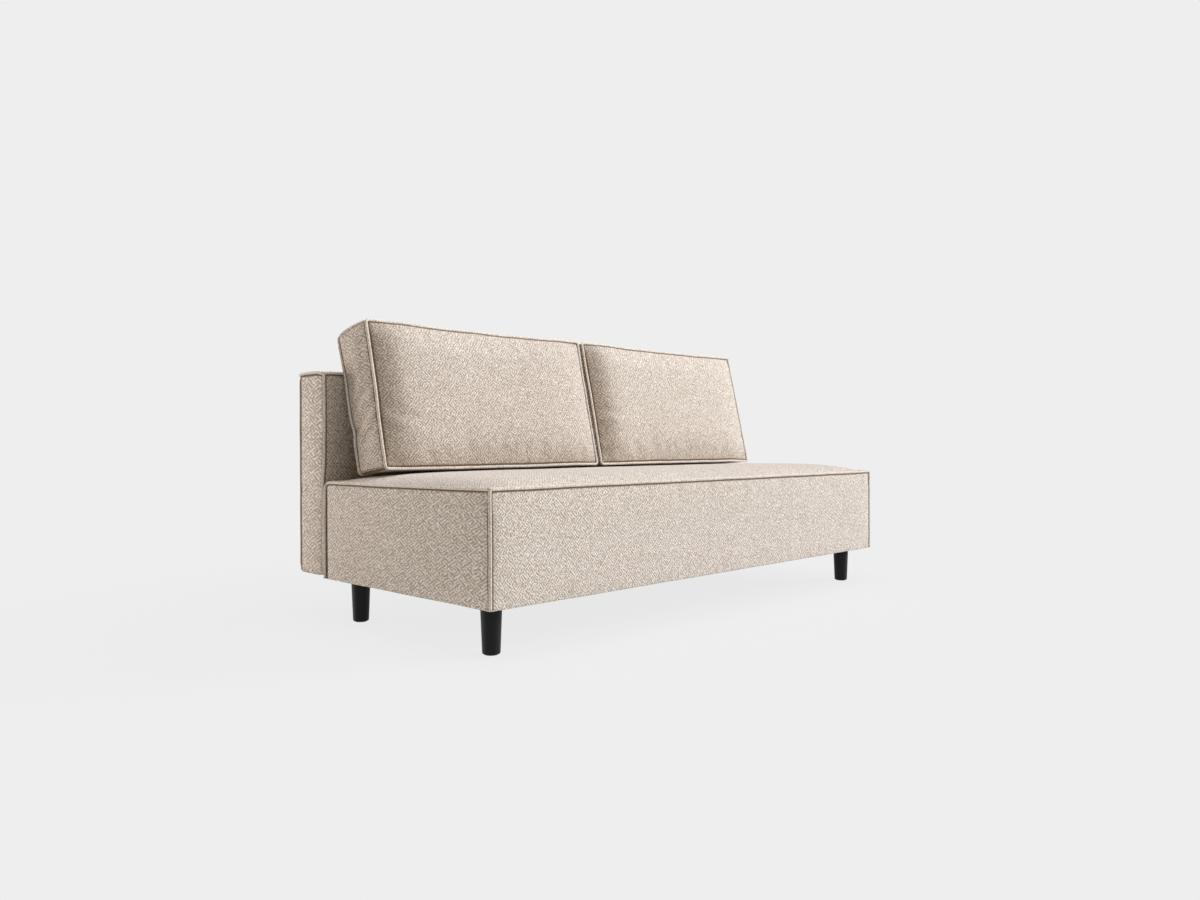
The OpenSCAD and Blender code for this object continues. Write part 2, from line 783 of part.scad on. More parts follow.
// A point of a cushion's face: u runs -1 to 1 across it, t from 0 at its foot to 1 at its top,
// inset is in from the middle of the piping and out is the distance outward from that plane
function cushion_point(side, start, up, outward, h, u, t, inset, out) = let (
    reach = cushion_half - inset - side_draw * sin(180 * t),
    climb = inset + t * (h - 2 * inset - top_sag * (1 - u * u)),
    yz = start + climb * up + out * outward)
    [side * cushion_mid_x + u * reach, yz[0], yz[1]];
function front_point(side, u, t, inset, out) =
    cushion_point(side, toe, front_up, front_out, cushion_front_h, u, t, inset, out);
function back_point(side, u, t, inset, out) =
    cushion_point(side, foot, back_up, back_out, cushion_back_h, u, t, inset, out);

function bulge(u, t) = (1 - pow(abs(u), crown_power)) * (1 - pow(abs(2 * t - 1), crown_power));
function pressed(t) = 1 - exp(-pow((t - lean_share) / press_share, 2));
function u_at(i) = wave(i, cushion_spans[0]);
function t_at(j) = (1 + wave(j, cushion_spans[1])) / 2;
function is_corner(i, j) = (i == 0 || i == cushion_spans[0]) && (j == 0 || j == cushion_spans[1]);

// Grids over the front and the back of a cushion, and the rim of its side between them
function front_grid(side, inset, out) = [for (i = [0:cushion_spans[0]], j = [0:cushion_spans[1]])
    front_point(side, u_at(i), t_at(j), inset + (is_corner(i, j) ? cloth_gap : 0),
        out + front_crown * bulge(u_at(i), t_at(j)))];
function back_grid(side, inset, out) = [for (i = [0:cushion_spans[0]], j = [0:cushion_spans[1]])
    back_point(side, u_at(i), t_at(j), inset + (is_corner(i, j) ? cloth_gap : 0),
        out + back_crown * bulge(u_at(i), t_at(j)) * pressed(t_at(j)))];
function side_point(side, u, t, inset, share) =
    front_point(side, u, t, inset, 0) * (1 - share) + back_point(side, u, t, inset, 0) * share;
function side_ring(side, inset, share) = [for (ij = rim(cushion_spans[0], cushion_spans[1]))
    side_point(side, u_at(ij[0]), t_at(ij[1]), inset, share)];

fill_off = fill_in - piping_r;
face_off = piping_r - piping_proud;
seam_off = piping_r + cloth_gap;
// Depth of the fill's bevel and of the boxing's edge, as shares of the cushion's thickness
bevel_share = (fill_off + fill_bevel) / cushion_foot_t;
seam_share = seam_off / cushion_foot_t;

// Places along a cushion's foot, and heights over its plane, for straight pieces
module at_base(side) {
    translate([side * cushion_mid_x, foot_y, foot_z]) rotate([-foot_slope, 0, 0]) children();
}

module cushion_fill(side) {
    groove_w = 2 * (zip_tape_w + zip_teeth_w + cloth_gap);
    groove_h = fill_off + zip_tape_t + slider_gap + slider_t + 2 * cloth_gap;
    color(padding_colour) difference() {
        grid_solid(cushion_spans,
            front_grid(side, fill_off + fill_bevel, -fill_off),
            [side_ring(side, fill_off, bevel_share), side_ring(side, fill_off, 1 - bevel_share)],
            back_grid(side, fill_off + fill_bevel, -fill_off));
        at_base(side) translate([0, -zip_from_rear, 0])
            box([-zip_l / 2 - zip_tape_w, -groove_w / 2, -fill_off - overrun],
                [zip_l / 2 + zip_tape_w, groove_w / 2, groove_h]);
    }
}

module cushion_front_panel(side) {
    color(cloth_colour) grid_solid(cushion_spans,
        front_grid(side, seam_off, face_off), [],
        front_grid(side, seam_off, face_off - cloth_t));
}

module cushion_back_panel(side) {
    color(cloth_colour) grid_solid(cushion_spans,
        back_grid(side, seam_off, face_off - cloth_t), [],
        back_grid(side, seam_off, face_off));
}

// The band up one side, over the top and down the other side
module cushion_boxing(side) {
    nu = cushion_spans[0];
    nv = cushion_spans[1];
    way = concat(
        [for (j = [0:nv - 1]) [-1, t_at(j)]],
        [for (i = [0:nu]) [u_at(i), 1]],
        [for (j = [nv - 1:-1:0]) [1, t_at(j)]]);
    color(cloth_colour) swept([for (w = way) [
        side_point(side, w[0], w[1], -face_off, seam_share),
        side_point(side, w[0], w[1], -face_off, 1 - seam_share),
        side_point(side, w[0], w[1], cloth_t - face_off, 1 - seam_share),
        side_point(side, w[0], w[1], cloth_t - face_off, seam_share)]], false);
}

module cushion_base_panels(side) {
    half = cushion_half - (cloth_t - face_off) - cloth_gap;
    color(cloth_colour) at_base(side) {
        box([-half, seam_off - cushion_foot_t, -face_off],
            [half, -zip_from_rear - zip_opening / 2, cloth_t - face_off]);
        box([-half, zip_opening / 2 - zip_from_rear, -face_off],
            [half, -seam_off, cloth_t - face_off]);
    }
}

// Corner of a piping loop: points between the two straight sides that meet at u, t
function bend_points(side, start, up, h, u, t) = [for (k = [0:2]) let (
    turn = u < 0 ? (t == 0 ? 180 : 90) : (t == 0 ? 270 : 0),
    a = turn + 45 * k,
    yz = start + (t * h + piping_bend * ((t == 0 ? 1 : -1) + sin(a))) * up)
    [side * cushion_mid_x + u * (cushion_half - piping_bend) + piping_bend * cos(a),
        yz[0], yz[1]]];

module cushion_loop(side, start, up, outward, h) {
    nu = cushion_spans[0];
    nv = cushion_spans[1];
    function at(u, t) = cushion_point(side, start, up, outward, h, u, t, 0, 0);
    path = concat(
        bend_points(side, start, up, h, -1, 0),
        [for (i = [1:nu - 1]) at(u_at(i), 0)],
        bend_points(side, start, up, h, 1, 0),
        [for (j = [1:nv - 1]) at(1, t_at(j))],
        bend_points(side, start, up, h, 1, 1),
        [for (i = [nu - 1:-1:1]) at(u_at(i), 1)],
        bend_points(side, start, up, h, -1, 1),
        [for (j = [nv - 1:-1:1]) at(-1, t_at(j))]);
    color(piping_colour)
        piping(path, [0, outward[0], outward[1]], cushion_piping_sides);
}

module cushion_front_piping(side) {
    cushion_loop(side, toe, front_up, front_out, cushion_front_h);
}

module cushion_back_piping(side) {
    cushion_loop(side, foot, back_up, back_out, cushion_back_h);
}

// Zips

tape_low = cloth_t - face_off;
slot_half = slider_post / 2 + slider_gap;

module cushion_zip(side) {
    color(black_colour) at_base(side) translate([0, -zip_from_rear, 0]) {
        for (edge = [-1, 1]) scale([1, edge, 1]) {
            box([-zip_l / 2, slot_half, tape_low],
                [zip_l / 2, slot_half + zip_tape_w, tape_low + zip_tape_t]);
            box([-zip_l / 2, slot_half, tape_low - zip_teeth_t],
                [zip_l / 2, slot_half + zip_teeth_w, tape_low]);
        }
        for (end = [-1, 1]) scale([end, 1, 1])
            box([zip_l / 2 - slot_half, -slot_half, tape_low - zip_teeth_t],
                [zip_l / 2, slot_half, tape_low + zip_tape_t]);
    }
}

// The slider stands at the outer end of its zip
module zip_slider(side) {
    low = tape_low - zip_teeth_t - slider_gap;
    high = tape_low + zip_tape_t + slider_gap;
    end_x = zip_l / 2 - slot_half - slider_gap;
    color(steel_colour) at_base(side) translate([0, -zip_from_rear, 0]) scale([side, 1, 1]) {
        box([end_x - slider_l, -slider_w / 2, low - slider_t], [end_x, slider_w / 2, low]);
        box([end_x - slider_l, -slider_w / 2, high], [end_x, slider_w / 2, high + slider_t]);
        box([end_x - slider_l, -slider_post / 2, low], [end_x, slider_post / 2, high]);
        box([end_x - slider_l / 2 - pull_l, -slider_w / 4, low - 2 * slider_t],
            [end_x - slider_l / 2, slider_w / 4, low - slider_t]);
    }
}

seat_front_rail();
seat_rear_rail();
seat_end_rail(-1);  // seat_left_rail
seat_end_rail(1);  // seat_right_rail
seat_cross_rails();
seat_corner_blocks();
seat_springs();
seat_spring_clips();
seat_felt();
seat_side_padding();
seat_foam();
seat_top_panel();
seat_front_panel();
seat_rear_panel();
seat_end_panel(-1);  // seat_left_panel
seat_end_panel(1);  // seat_right_panel
seat_top_piping();
seat_corner_pipings();
seat_dust_cloth();
leg(-1, leg_front_y);  // leg_front_left
leg(1, leg_front_y);  // leg_front_right
leg(-1, leg_rear_y);  // leg_rear_left
leg(1, leg_rear_y);  // leg_rear_right
leg_bolts();
leg_tee_nuts();
leg_glides();
back_top_rail();
back_bottom_rail();
back_end_post(-1);  // back_left_post
back_end_post(1);  // back_right_post
back_inner_posts();
back_front_board();
back_webbing();
back_foam();
back_edge_padding();
back_rear_padding();
back_front_panel();
back_rear_panel();
back_boxing();
back_loop(back_y + piping_r);  // back_front_piping
back_loop(back_y + back_t - piping_r);  // back_rear_piping
joining_bolts();
cushion_fill(-1);  // left_cushion_fill
cushion_front_panel(-1);  // left_cushion_front_panel
cushion_back_panel(-1);  // left_cushion_back_panel
cushion_boxing(-1);  // left_cushion_boxing
cushion_base_panels(-1);  // left_cushion_base_panels
cushion_front_piping(-1);  // left_cushion_front_piping
cushion_back_piping(-1);  // left_cushion_back_piping
cushion_zip(-1);  // left_cushion_zip
zip_slider(-1);  // left_zip_slider
cushion_fill(1);  // right_cushion_fill
cushion_front_panel(1);  // right_cushion_front_panel
cushion_back_panel(1);  // right_cushion_back_panel
cushion_boxing(1);  // right_cushion_boxing
cushion_base_panels(1);  // right_cushion_base_panels
cushion_front_piping(1);  // right_cushion_front_piping
cushion_back_piping(1);  // right_cushion_back_piping
cushion_zip(1);  // right_cushion_zip
zip_slider(1);  // right_zip_slider
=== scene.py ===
# %% [markdown]
# # Dressing an armless sofa
#
# The imported model holds the sofa's rails, springs, legs and plain blocks for its soft parts.
# This lesson leaves the hard parts where they are and sews new soft ones over the blocks.
# First comes the imported model, because the dressed sofa has to stay in its outer box.

# %% The imported model
import math

import bmesh
import bpy
from mathutils import Matrix, Vector, noise


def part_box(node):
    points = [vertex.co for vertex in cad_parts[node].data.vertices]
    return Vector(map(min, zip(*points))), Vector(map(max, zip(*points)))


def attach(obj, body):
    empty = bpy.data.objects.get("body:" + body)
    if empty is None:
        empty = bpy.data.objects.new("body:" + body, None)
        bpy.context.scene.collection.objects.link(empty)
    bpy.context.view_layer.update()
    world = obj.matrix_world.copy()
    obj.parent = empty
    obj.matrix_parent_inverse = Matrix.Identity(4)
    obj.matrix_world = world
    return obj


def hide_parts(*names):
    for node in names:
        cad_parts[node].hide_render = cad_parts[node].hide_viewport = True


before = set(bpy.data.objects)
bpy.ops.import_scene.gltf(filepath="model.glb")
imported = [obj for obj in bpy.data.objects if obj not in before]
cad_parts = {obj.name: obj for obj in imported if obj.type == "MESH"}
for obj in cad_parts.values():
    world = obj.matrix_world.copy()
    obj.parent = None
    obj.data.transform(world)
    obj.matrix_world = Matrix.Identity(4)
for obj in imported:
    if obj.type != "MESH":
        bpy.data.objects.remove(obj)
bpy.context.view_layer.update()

MM = 0.001
SIDES = ((-1, "left"), (1, "right"))

# %% [markdown]
# ## The camera
#
# The photograph was taken at about half a metre from the floor, from the front left, with a
# wide lens. Its place was found by lining up the sofa's corners. A camera could be aimed at a
# target object, but the photograph is also turned a little about the line of sight. So the
# camera is made from three directions: ahead, to its right and up.

# %% The camera
CAMERA_PLACE = Vector((-2.335, -2.215, 0.538))
CAMERA_LENS = 27.19
CAMERA_YAW, CAMERA_PITCH, CAMERA_ROLL = (math.radians(a) for a in (45.51, -0.37, -0.18))


def make_camera():
    """A camera at the photograph's place, turned by its yaw, pitch and roll."""
    ahead = Vector((
        math.sin(CAMERA_YAW) * math.cos(CAMERA_PITCH),
        math.cos(CAMERA_YAW) * math.cos(CAMERA_PITCH),
        math.sin(CAMERA_PITCH)))
    level = Vector((math.cos(CAMERA_YAW), -math.sin(CAMERA_YAW), 0))
    upright = level.cross(ahead)
    right = level * math.cos(CAMERA_ROLL) + upright * math.sin(CAMERA_ROLL)
    up = upright * math.cos(CAMERA_ROLL) - level * math.sin(CAMERA_ROLL)
    data = bpy.data.cameras.new("camera")
    data.sensor_width = 36
    data.lens = CAMERA_LENS
    data.clip_end = 200
    camera = bpy.data.objects.new("camera", data)
    camera.matrix_world = Matrix.Translation(CAMERA_PLACE) @ Matrix((
        (right.x, up.x, -ahead.x, 0),
        (right.y, up.y, -ahead.y, 0),
        (right.z, up.z, -ahead.z, 0),
        (0, 0, 0, 1)))
    bpy.context.scene.collection.objects.link(camera)
    bpy.context.scene.camera = camera
    return camera


print("camera at", tuple(round(x, 3) for x in make_camera().matrix_world.translation))

# %% [markdown]
# ## Writing materials as sums
#
# A material is a net of nodes. It could be drawn by hand in the shader editor, but a drawn net
# is hard to read in a script, so small classes help. The first is a Wire, the output of a
# node. Adding or multiplying wires adds the Math nodes.


# %% Wires
class Wire:
    """The output of a node. Sums and products of wires add Math nodes."""

    def __init__(self, net, socket):
        self.net, self.socket = net, socket

    def math(self, operation, other, swapped=False):
        first, second = (other, self) if swapped else (self, other)
        return self.net.node("ShaderNodeMath", {"operation": operation}, {0: first, 1: second})

    def __add__(self, other):
        return self.math("ADD", other)

    def __mul__(self, other):
        return self.math("MULTIPLY", other)

    def __sub__(self, other):
        return self.math("SUBTRACT", other)

    def __rsub__(self, other):
        return self.math("SUBTRACT", other, swapped=True)

    __radd__ = __add__
    __rmul__ = __mul__


print("a wire can be used in", [m.strip("_") for m in dir(Wire) if m in (
    "__add__", "__sub__", "__mul__")])

# %% [markdown]
# ## Nets and finishes
#
# A Net makes any other node from its type, settings and inputs. One method for each kind of
# node would read as well, but there are hundreds of kinds. A Finish is the net of one
# material. It starts with a principled shader, and has methods for the few nodes that nearly
# every finish here uses.


# %% Nets and finishes
class Net:
    """The nodes of a material or of the world."""

    def __init__(self, tree):
        self.tree = tree
        self.tree.nodes.clear()

    def node(self, kind, settings=None, values=None, out=0):
        made = self.tree.nodes.new(kind)
        for key, value in (settings or {}).items():
            setattr(made, key, value)
        for key, value in (values or {}).items():
            self.join(made.inputs[key], value)
        return Wire(self, made.outputs[out]) if made.outputs else made

    def join(self, socket, value):
        if isinstance(value, Wire):
            self.tree.links.new(value.socket, socket)
        else:
            socket.default_value = value


class Finish(Net):
    """A material, with its shader's fixed values given as keywords."""

    def __init__(self, name, **fixed):
        self.material = bpy.data.materials.new(name)
        self.material.use_nodes = True
        super().__init__(self.material.node_tree)
        self.shader = self.tree.nodes.new("ShaderNodeBsdfPrincipled")
        self.output = self.tree.nodes.new("ShaderNodeOutputMaterial")
        self.tree.links.new(self.shader.outputs[0], self.output.inputs["Surface"])
        self.set(**fixed)

    def set(self, **values):
        for key, value in values.items():
            self.join(self.shader.inputs[key.replace("_", " ")], value)
        return self.material

    def place(self):
        return self.node("ShaderNodeTexCoord", out="Object")

    def stretched(self, at, degrees, factors):
        return self.node("ShaderNodeMapping", {"vector_type": "TEXTURE"}, {
            "Vector": at, "Rotation": (0, 0, math.radians(degrees)), "Scale": factors})

    def grain(self, at, scale, detail=2.0, roughness=0.5, distortion=0.0):
        return self.node("ShaderNodeTexNoise", {"noise_dimensions": "3D"}, {
            "Vector": at, "Scale": scale, "Detail": detail, "Roughness": roughness,
            "Distortion": distortion}, "Fac")

    def blend(self, factor, first, second, how="MIX"):
        return self.node("ShaderNodeMix", {"data_type": "RGBA", "blend_type": how}, {
            0: factor, 6: first, 7: second}, 2)

    def spread(self, value, low, high, to_low=0.0, to_high=1.0):
        return self.node("ShaderNodeMapRange", {"clamp": True}, {
            "Value": value, "From Min": low, "From Max": high,
            "To Min": to_low, "To Max": to_high})

    def bump(self, height, depth, strength=1.0):
        return self.node("ShaderNodeBump", {}, {
            "Height": height, "Distance": depth, "Strength": strength})


print("a finish's methods:", [m for m in dir(Finish) if not m.startswith("_")])

# %% [markdown]
# ## The cover cloth
#
# The cloth is a thick nubby weave of cream and sand yarns. Close up its yarns make short
# slanting strokes, which change direction from spot to spot, with small curls between them.
# Two sets of wavy bands, one turned each way, give the strokes, and a mask of larger noise
# chooses between them. Beside a seam the cloth turns in and shows as a thin brown line, which
# also holds painted shade of the seam's groove, so each sewn piece carries its points'
# distance from the nearest seam. Each piece also carries a share of painted shade, which
# darkens its cloth where shade falls, as beside the cushions' pipings and behind them.
# A photograph of cloth would be quicker, but it would stretch and repeat, and bands don't.

# %% The cover cloth
CREAM = (0.86, 0.79, 0.715, 1)
SAND = (0.40, 0.335, 0.265, 1)
SEAM_BROWN_AND_SHADE = (0.125, 0.079, 0.043, 1)
PAINTED_SHADE_TINT = (0.645, 0.60, 0.545, 1)
# The piping's colours are lighter than the panels', though it is the same cloth: a painted
# highlight on the round cord.
LIT_PIPING_CREAM = (0.90, 0.835, 0.76, 1)
LIT_PIPING_SAND = (0.50, 0.425, 0.345, 1)
STROKES, STROKE_PATCHES = 46, 66
STROKE_TURNS = (48, -42)
CURLS, NUBS = {"panel": 176, "piping": 430}, {"panel": 196, "piping": 300}
SEAM_LINE, SEAM_FADE = 7 * MM, 10.5 * MM


def make_cloth(name, light, dark, kind):
    """The cloth of panels lies on their UV map. That of piping is finer, without strokes."""
    cloth = Finish(name, Roughness=0.92, Sheen_Weight=0.12, Sheen_Roughness=0.45,
                   Specular_IOR_Level=0.22)
    panel = kind == "panel"
    at = cloth.place()
    flat = cloth.node("ShaderNodeUVMap", {"uv_map": "cloth"}) if panel else at
    curls = cloth.grain(flat, CURLS[kind], 2.0, 0.65, 0.8)
    nubs = cloth.node("ShaderNodeTexVoronoi", {"feature": "SMOOTH_F1"}, {
        "Vector": flat, "Scale": NUBS[kind], "Smoothness": 0.4}, "Distance")
    pile = curls * 0.65 + (1 - nubs) * 0.35
    if panel:
        rising, falling = (cloth.node("ShaderNodeTexWave", {"bands_direction": "X"}, {
            "Vector": cloth.stretched(flat, turn, (1, 1, 1)), "Scale": STROKES,
            "Distortion": 4.4, "Detail": 1.2, "Detail Scale": 2.3}, "Fac")
            for turn in STROKE_TURNS)
        choice = cloth.spread(cloth.grain(flat, STROKE_PATCHES, 1.0, 0.5), 0.46, 0.54)
        strokes = rising * choice + falling * (1 - choice)
        pile = cloth.spread(pile, 0.40, 0.66) * 0.42 + strokes * 0.58
    lit = cloth.spread(pile, 0.20 if panel else 0.42, 0.80 if panel else 0.60)
    patchy = cloth.grain(at, 5.5, 2.0, 0.5)
    shade = cloth.spread(lit * 0.9 + patchy * 0.1, 0.04, 0.96)
    colour = cloth.blend(shade, dark, light)
    if panel:
        # Painted shade: each point's share of shade multiplies the colour towards a darker tint.
        shade_paint = cloth.node("ShaderNodeAttribute", {"attribute_name": "painted_shade"}, {}, "Fac")
        colour = cloth.blend(shade_paint, colour, PAINTED_SHADE_TINT, "MULTIPLY")
        # A brown line along each seam: partly the cloth's own turn-in, partly painted shade of the
        # seam's groove.
        gap = cloth.node("ShaderNodeAttribute", {"attribute_name": "seam_gap"}, {}, "Fac")
        beside = cloth.spread(gap, SEAM_LINE, SEAM_FADE, 0.95, 0.0)
        colour = cloth.blend(beside, colour, SEAM_BROWN_AND_SHADE)
    return cloth.set(Base_Color=colour, Normal=cloth.bump(pile, 1.2 * MM, 0.6))


cover_cloth = make_cloth("cream_weave", CREAM, SAND, "panel")
lit_piping_cloth = make_cloth("cream_piping_lit", LIT_PIPING_CREAM, LIT_PIPING_SAND, "piping")
print("cloths", cover_cloth.name, lit_piping_cloth.name)

# %% [markdown]
# ## Finishes of the hard parts
#
# The legs are turned wood in satin black paint, the rails are raw softwood with its grain
# along each piece, and the springs, bolts and sliders are plated steel. One plain colour each
# would do for parts that hardly show, but they are seen when the sofa is taken apart. So each
# gets its own grain, and noise that is drawn out one way makes the lines in wood and steel.


# %% Paint, wood, steel, plastic and plain weaves
def make_paint():
    paint = Finish("black_paint", Specular_IOR_Level=0.2)
    at = paint.place()
    grain = paint.grain(paint.stretched(at, 0, (1, 1, 9)), 260, 3.0, 0.6)
    worn = paint.grain(at, 25, 3.0, 0.6)
    return paint.set(
        Base_Color=paint.blend(worn, (0.005, 0.0045, 0.0045, 1), (0.011, 0.010, 0.0095, 1)),
        Roughness=paint.spread(worn, 0.3, 0.7, 0.42, 0.56),
        Normal=paint.bump(grain, 0.12 * MM, 0.35))


def make_wood(name, along):
    wood = Finish(name, Specular_IOR_Level=0.3)
    at = wood.stretched(wood.place(), 0, along)
    rings = wood.grain(at, 42, 4.0, 0.6, 0.8)
    fibre = wood.grain(at, 420, 2.0, 0.6)
    tone = wood.spread(rings * 0.8 + fibre * 0.2, 0.35, 0.65)
    return wood.set(
        Base_Color=wood.blend(tone, (0.52, 0.36, 0.19, 1), (0.72, 0.56, 0.36, 1)),
        Roughness=wood.spread(fibre, 0.3, 0.7, 0.6, 0.8),
        Normal=wood.bump(fibre, 0.3 * MM, 0.5))


def make_steel(name, colour, rough):
    steel = Finish(name, Metallic=1.0)
    at = steel.place()
    brushed = steel.grain(steel.stretched(at, 0, (6, 1, 1)), 900, 2.0, 0.5)
    dull = steel.grain(at, 60, 3.0, 0.6)
    return steel.set(
        Base_Color=steel.blend(dull, tuple(c * 0.82 for c in colour) + (1,), colour + (1,)),
        Roughness=steel.spread(dull, 0.3, 0.7, rough, rough + 0.15),
        Normal=steel.bump(brushed, 0.05 * MM, 0.4))


def make_plastic():
    plastic = Finish("black_plastic")
    skin = plastic.grain(plastic.place(), 900, 2.0, 0.5)
    return plastic.set(
        Base_Color=plastic.blend(skin, (0.014, 0.014, 0.015, 1), (0.03, 0.03, 0.031, 1)),
        Roughness=plastic.spread(skin, 0.3, 0.7, 0.5, 0.65),
        Normal=plastic.bump(skin, 0.1 * MM, 0.5))


def make_plain_weave(name, light, dark, threads):
    weave = Finish(name, Roughness=0.9, Specular_IOR_Level=0.2)
    at = weave.place()
    bands = [weave.node("ShaderNodeTexWave", {"bands_direction": axis}, {
        "Vector": at, "Scale": threads, "Distortion": 0.6, "Detail": 1.0}, "Fac")
        for axis in "XY"]
    fuzz = weave.grain(at, 500, 2.0, 0.6)
    tone = (bands[0] + bands[1]) * 0.3 + fuzz * 0.4
    return weave.set(Base_Color=weave.blend(tone, dark, light),
                     Normal=weave.bump(tone, 0.4 * MM, 0.6))


print("recipes for", [make.__name__[5:] for make in (
    make_paint, make_wood, make_steel, make_plastic, make_plain_weave)])

# %% [markdown]
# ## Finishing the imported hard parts
#
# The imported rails, springs, bolts and legs keep their shapes and only change their finish.
# Each part could be listed with its own, but the ends of their names tell what they are made
# of and which way their grain runs.

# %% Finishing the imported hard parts
black_paint = make_paint()
black_plastic = make_plastic()
spring_steel = make_steel("spring_steel", (0.56, 0.57, 0.59), 0.28)
slider_metal = make_steel("slider_metal", (0.66, 0.64, 0.60), 0.22)
webbing_weave = make_plain_weave(
    "webbing_weave", (0.16, 0.14, 0.11, 1), (0.05, 0.045, 0.04, 1), 90)
dust_weave = make_plain_weave(
    "dust_weave", (0.035, 0.035, 0.036, 1), (0.012, 0.012, 0.012, 1), 160)
tape_weave = make_plain_weave(
    "tape_weave", (0.60, 0.53, 0.45, 1), (0.42, 0.36, 0.29, 1), 260)

NODE_FINISHES = [
    (make_wood("wood_along_x", (14, 1, 1)), (
        "front_rail", "rear_rail", "top_rail", "bottom_rail", "front_board", "blocks")),
    (make_wood("wood_along_y", (1, 14, 1)), ("left_rail", "right_rail", "cross_rails")),
    (make_wood("wood_along_z", (1, 1, 14)), ("_post", "_posts")),
    (spring_steel, ("springs", "clips", "bolts", "nuts")),
    (black_paint, ("leg_front_left", "leg_front_right", "leg_rear_left", "leg_rear_right")),
    (black_plastic, ("glides",)),
    (webbing_weave, ("webbing",)),
]
finished = []
for finish, endings in NODE_FINISHES:
    for node_name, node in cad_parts.items():
        if node_name.endswith(endings):
            node.data.materials.clear()
            node.data.materials.append(finish)
            finished.append(node_name)
print("hard nodes finished", len(finished))

# %% [markdown]
# ## A block that becomes a cushion
#
# Every sewn body starts as a cube with a net of faces. A body could be sculpted by hand, but
# a cube's six faces are just the panels that an upholsterer cuts, so seams fall on its edges.
# The net's lines stand closer together there, where cloth bends sharply.


# %% A cube with a net
RIM = 0.4999
LINE_GROWTH = 1.35


def net_lines(length, fine, coarse):
    """Places of a net's lines from -0.5 to 0.5, finer at the ends than in the middle."""
    step, places = fine, [0.0]
    while places[-1] < length / 2:
        places.append(places[-1] + step)
        step = min(step * LINE_GROWTH, coarse)
    half = [p / places[-1] / 2 - 0.5 for p in places]
    return half + [-p for p in reversed(half[:-1])]


def netted_cube(lines):
    """A cube from -0.5 to 0.5 whose faces are cut along the lines given for x, y and z."""
    bm = bmesh.new()
    bmesh.ops.create_cube(bm, size=1)
    for axis, places in enumerate(lines):
        along = [e for e in bm.edges
                 if abs(e.verts[0].co[axis] - e.verts[1].co[axis]) > 0.5]
        bmesh.ops.subdivide_edges(bm, edges=along, cuts=len(places) - 2, use_grid_fill=True)
    for v in bm.verts:
        v.co = [places[round((c + 0.5) * (len(places) - 1))] for c, places in zip(v.co, lines)]
    return bm


print("lines along 0.4 m:", len(net_lines(0.4, 3 * MM, 14 * MM)))

# %% [markdown]
# ## Sewn pieces
#
# Each point of a netted cube is moved to its place in the sofa. Before that every face gets
# its share of a UV map in metres, which keeps the weave at one scale, and every point gets its
# distance from the nearest seam. Blender can unwrap a mesh by itself, but a flat map straight
# from the cube has no gaps or turns, so the strokes of the weave run on.

# %% Sewn pieces
END_STRETCH, WIDENING = 0.57, 0.10


def lay_uv(bm, size, weave):
    """Gives each face a flat UV map. Strokes lie longer at the ends and widen to the right."""
    layer = bm.loops.layers.uv.new("cloth")
    bm.normal_update()
    for face in bm.faces:
        normal = [abs(x) for x in face.normal]
        axis = normal.index(max(normal))
        first, second = [a for a in range(3) if a != axis]
        stretch = END_STRETCH if axis == 0 else 1
        for loop in face.loops:
            at = loop.vert.co
            widen = WIDENING * (at.x + 0.5) * size.x
            across = at[first] * size[first] * (1 if axis == 0 else 1 - widen / 2)
            loop[layer].uv = (across * weave * stretch,
                              at[second] * size[second] * weave * (1 - widen))


def make_piece(name, bm, finish):
    """Turns a bmesh into a smooth object."""
    bmesh.ops.recalc_face_normals(bm, faces=bm.faces[:])
    for face in bm.faces:
        face.smooth = True
    mesh = bpy.data.meshes.new(name)
    bm.to_mesh(mesh)
    bm.free()
    mesh.materials.append(finish)
    piece = bpy.data.objects.new(name, mesh)
    bpy.context.scene.collection.objects.link(piece)
    return piece


def sewn_body(name, lines, size, place, seam_gap, painted_shade, weave):
    """A netted cube moved into place, with each point's share of the cube, for later steps."""
    bm = netted_cube(lines)
    lay_uv(bm, size, weave)
    gaps = bm.verts.layers.float.new("seam_gap")
    # Each point also carries its share of painted shade.
    shade_paint = bm.verts.layers.float.new("painted_shade")
    shares = []
    for v in bm.verts:
        share = v.co.copy()
        shares.append(share)
        v[gaps] = seam_gap(share, size)
        v[shade_paint] = painted_shade(share, size)
        v.co = place(share)
    return make_piece(name, bm, cover_cloth), shares


def rise(distance, reach):
    """0 at a seam, and close to 1 a few reaches away from it."""
    return 1 - math.exp(-max(distance, 0) / reach)


def faces_of(share):
    """The axes along which a point of the cube lies on its outside."""
    return [axis for axis in range(3) if abs(share[axis]) > RIM]


def near(distance, reach):
    """1 at a place, and close to 0 two reaches away from it."""
    return math.exp(-(distance / reach) ** 2)


def rounded_gap(first, second, radius=10 * MM):
    """Distance from the edge of a panel with round corners, from its distances to two sides."""
    if first < radius and second < radius:
        return radius - math.hypot(radius - first, radius - second)
    return min(first, second)


print("20 mm from a seam a 12 mm rise has come to", round(rise(20 * MM, 12 * MM), 2))

# %% [markdown]
# ## Seams are never quite straight
#
# Hands guide cloth through the sewing machine, so a seam wanders a little. Each piece could
# have noise of its own, but piping has to stay on its seam. So one smooth noise, read at a
# point's place, moves a body's edges and the piping on them alike. Blender seeds its noise
# with the time of day unless it is told otherwise, so the seed is set and every run gives
# the same sofa.


# %% Wander
NOISE_SEED = 7
noise.seed_set(NOISE_SEED)


def wander(at, amount, wave=0.16):
    """A small smooth shift, the same for every piece at one place."""
    slow = noise.noise_vector(at / wave)
    fast = noise.noise_vector(at / (wave * 0.37) + Vector((7, 3, 5)))
    return (slow + fast * 0.45) * amount


print("one seam point moves by", tuple(round(x / MM, 2) for x in wander(Vector((3, 2, 1)), MM)))

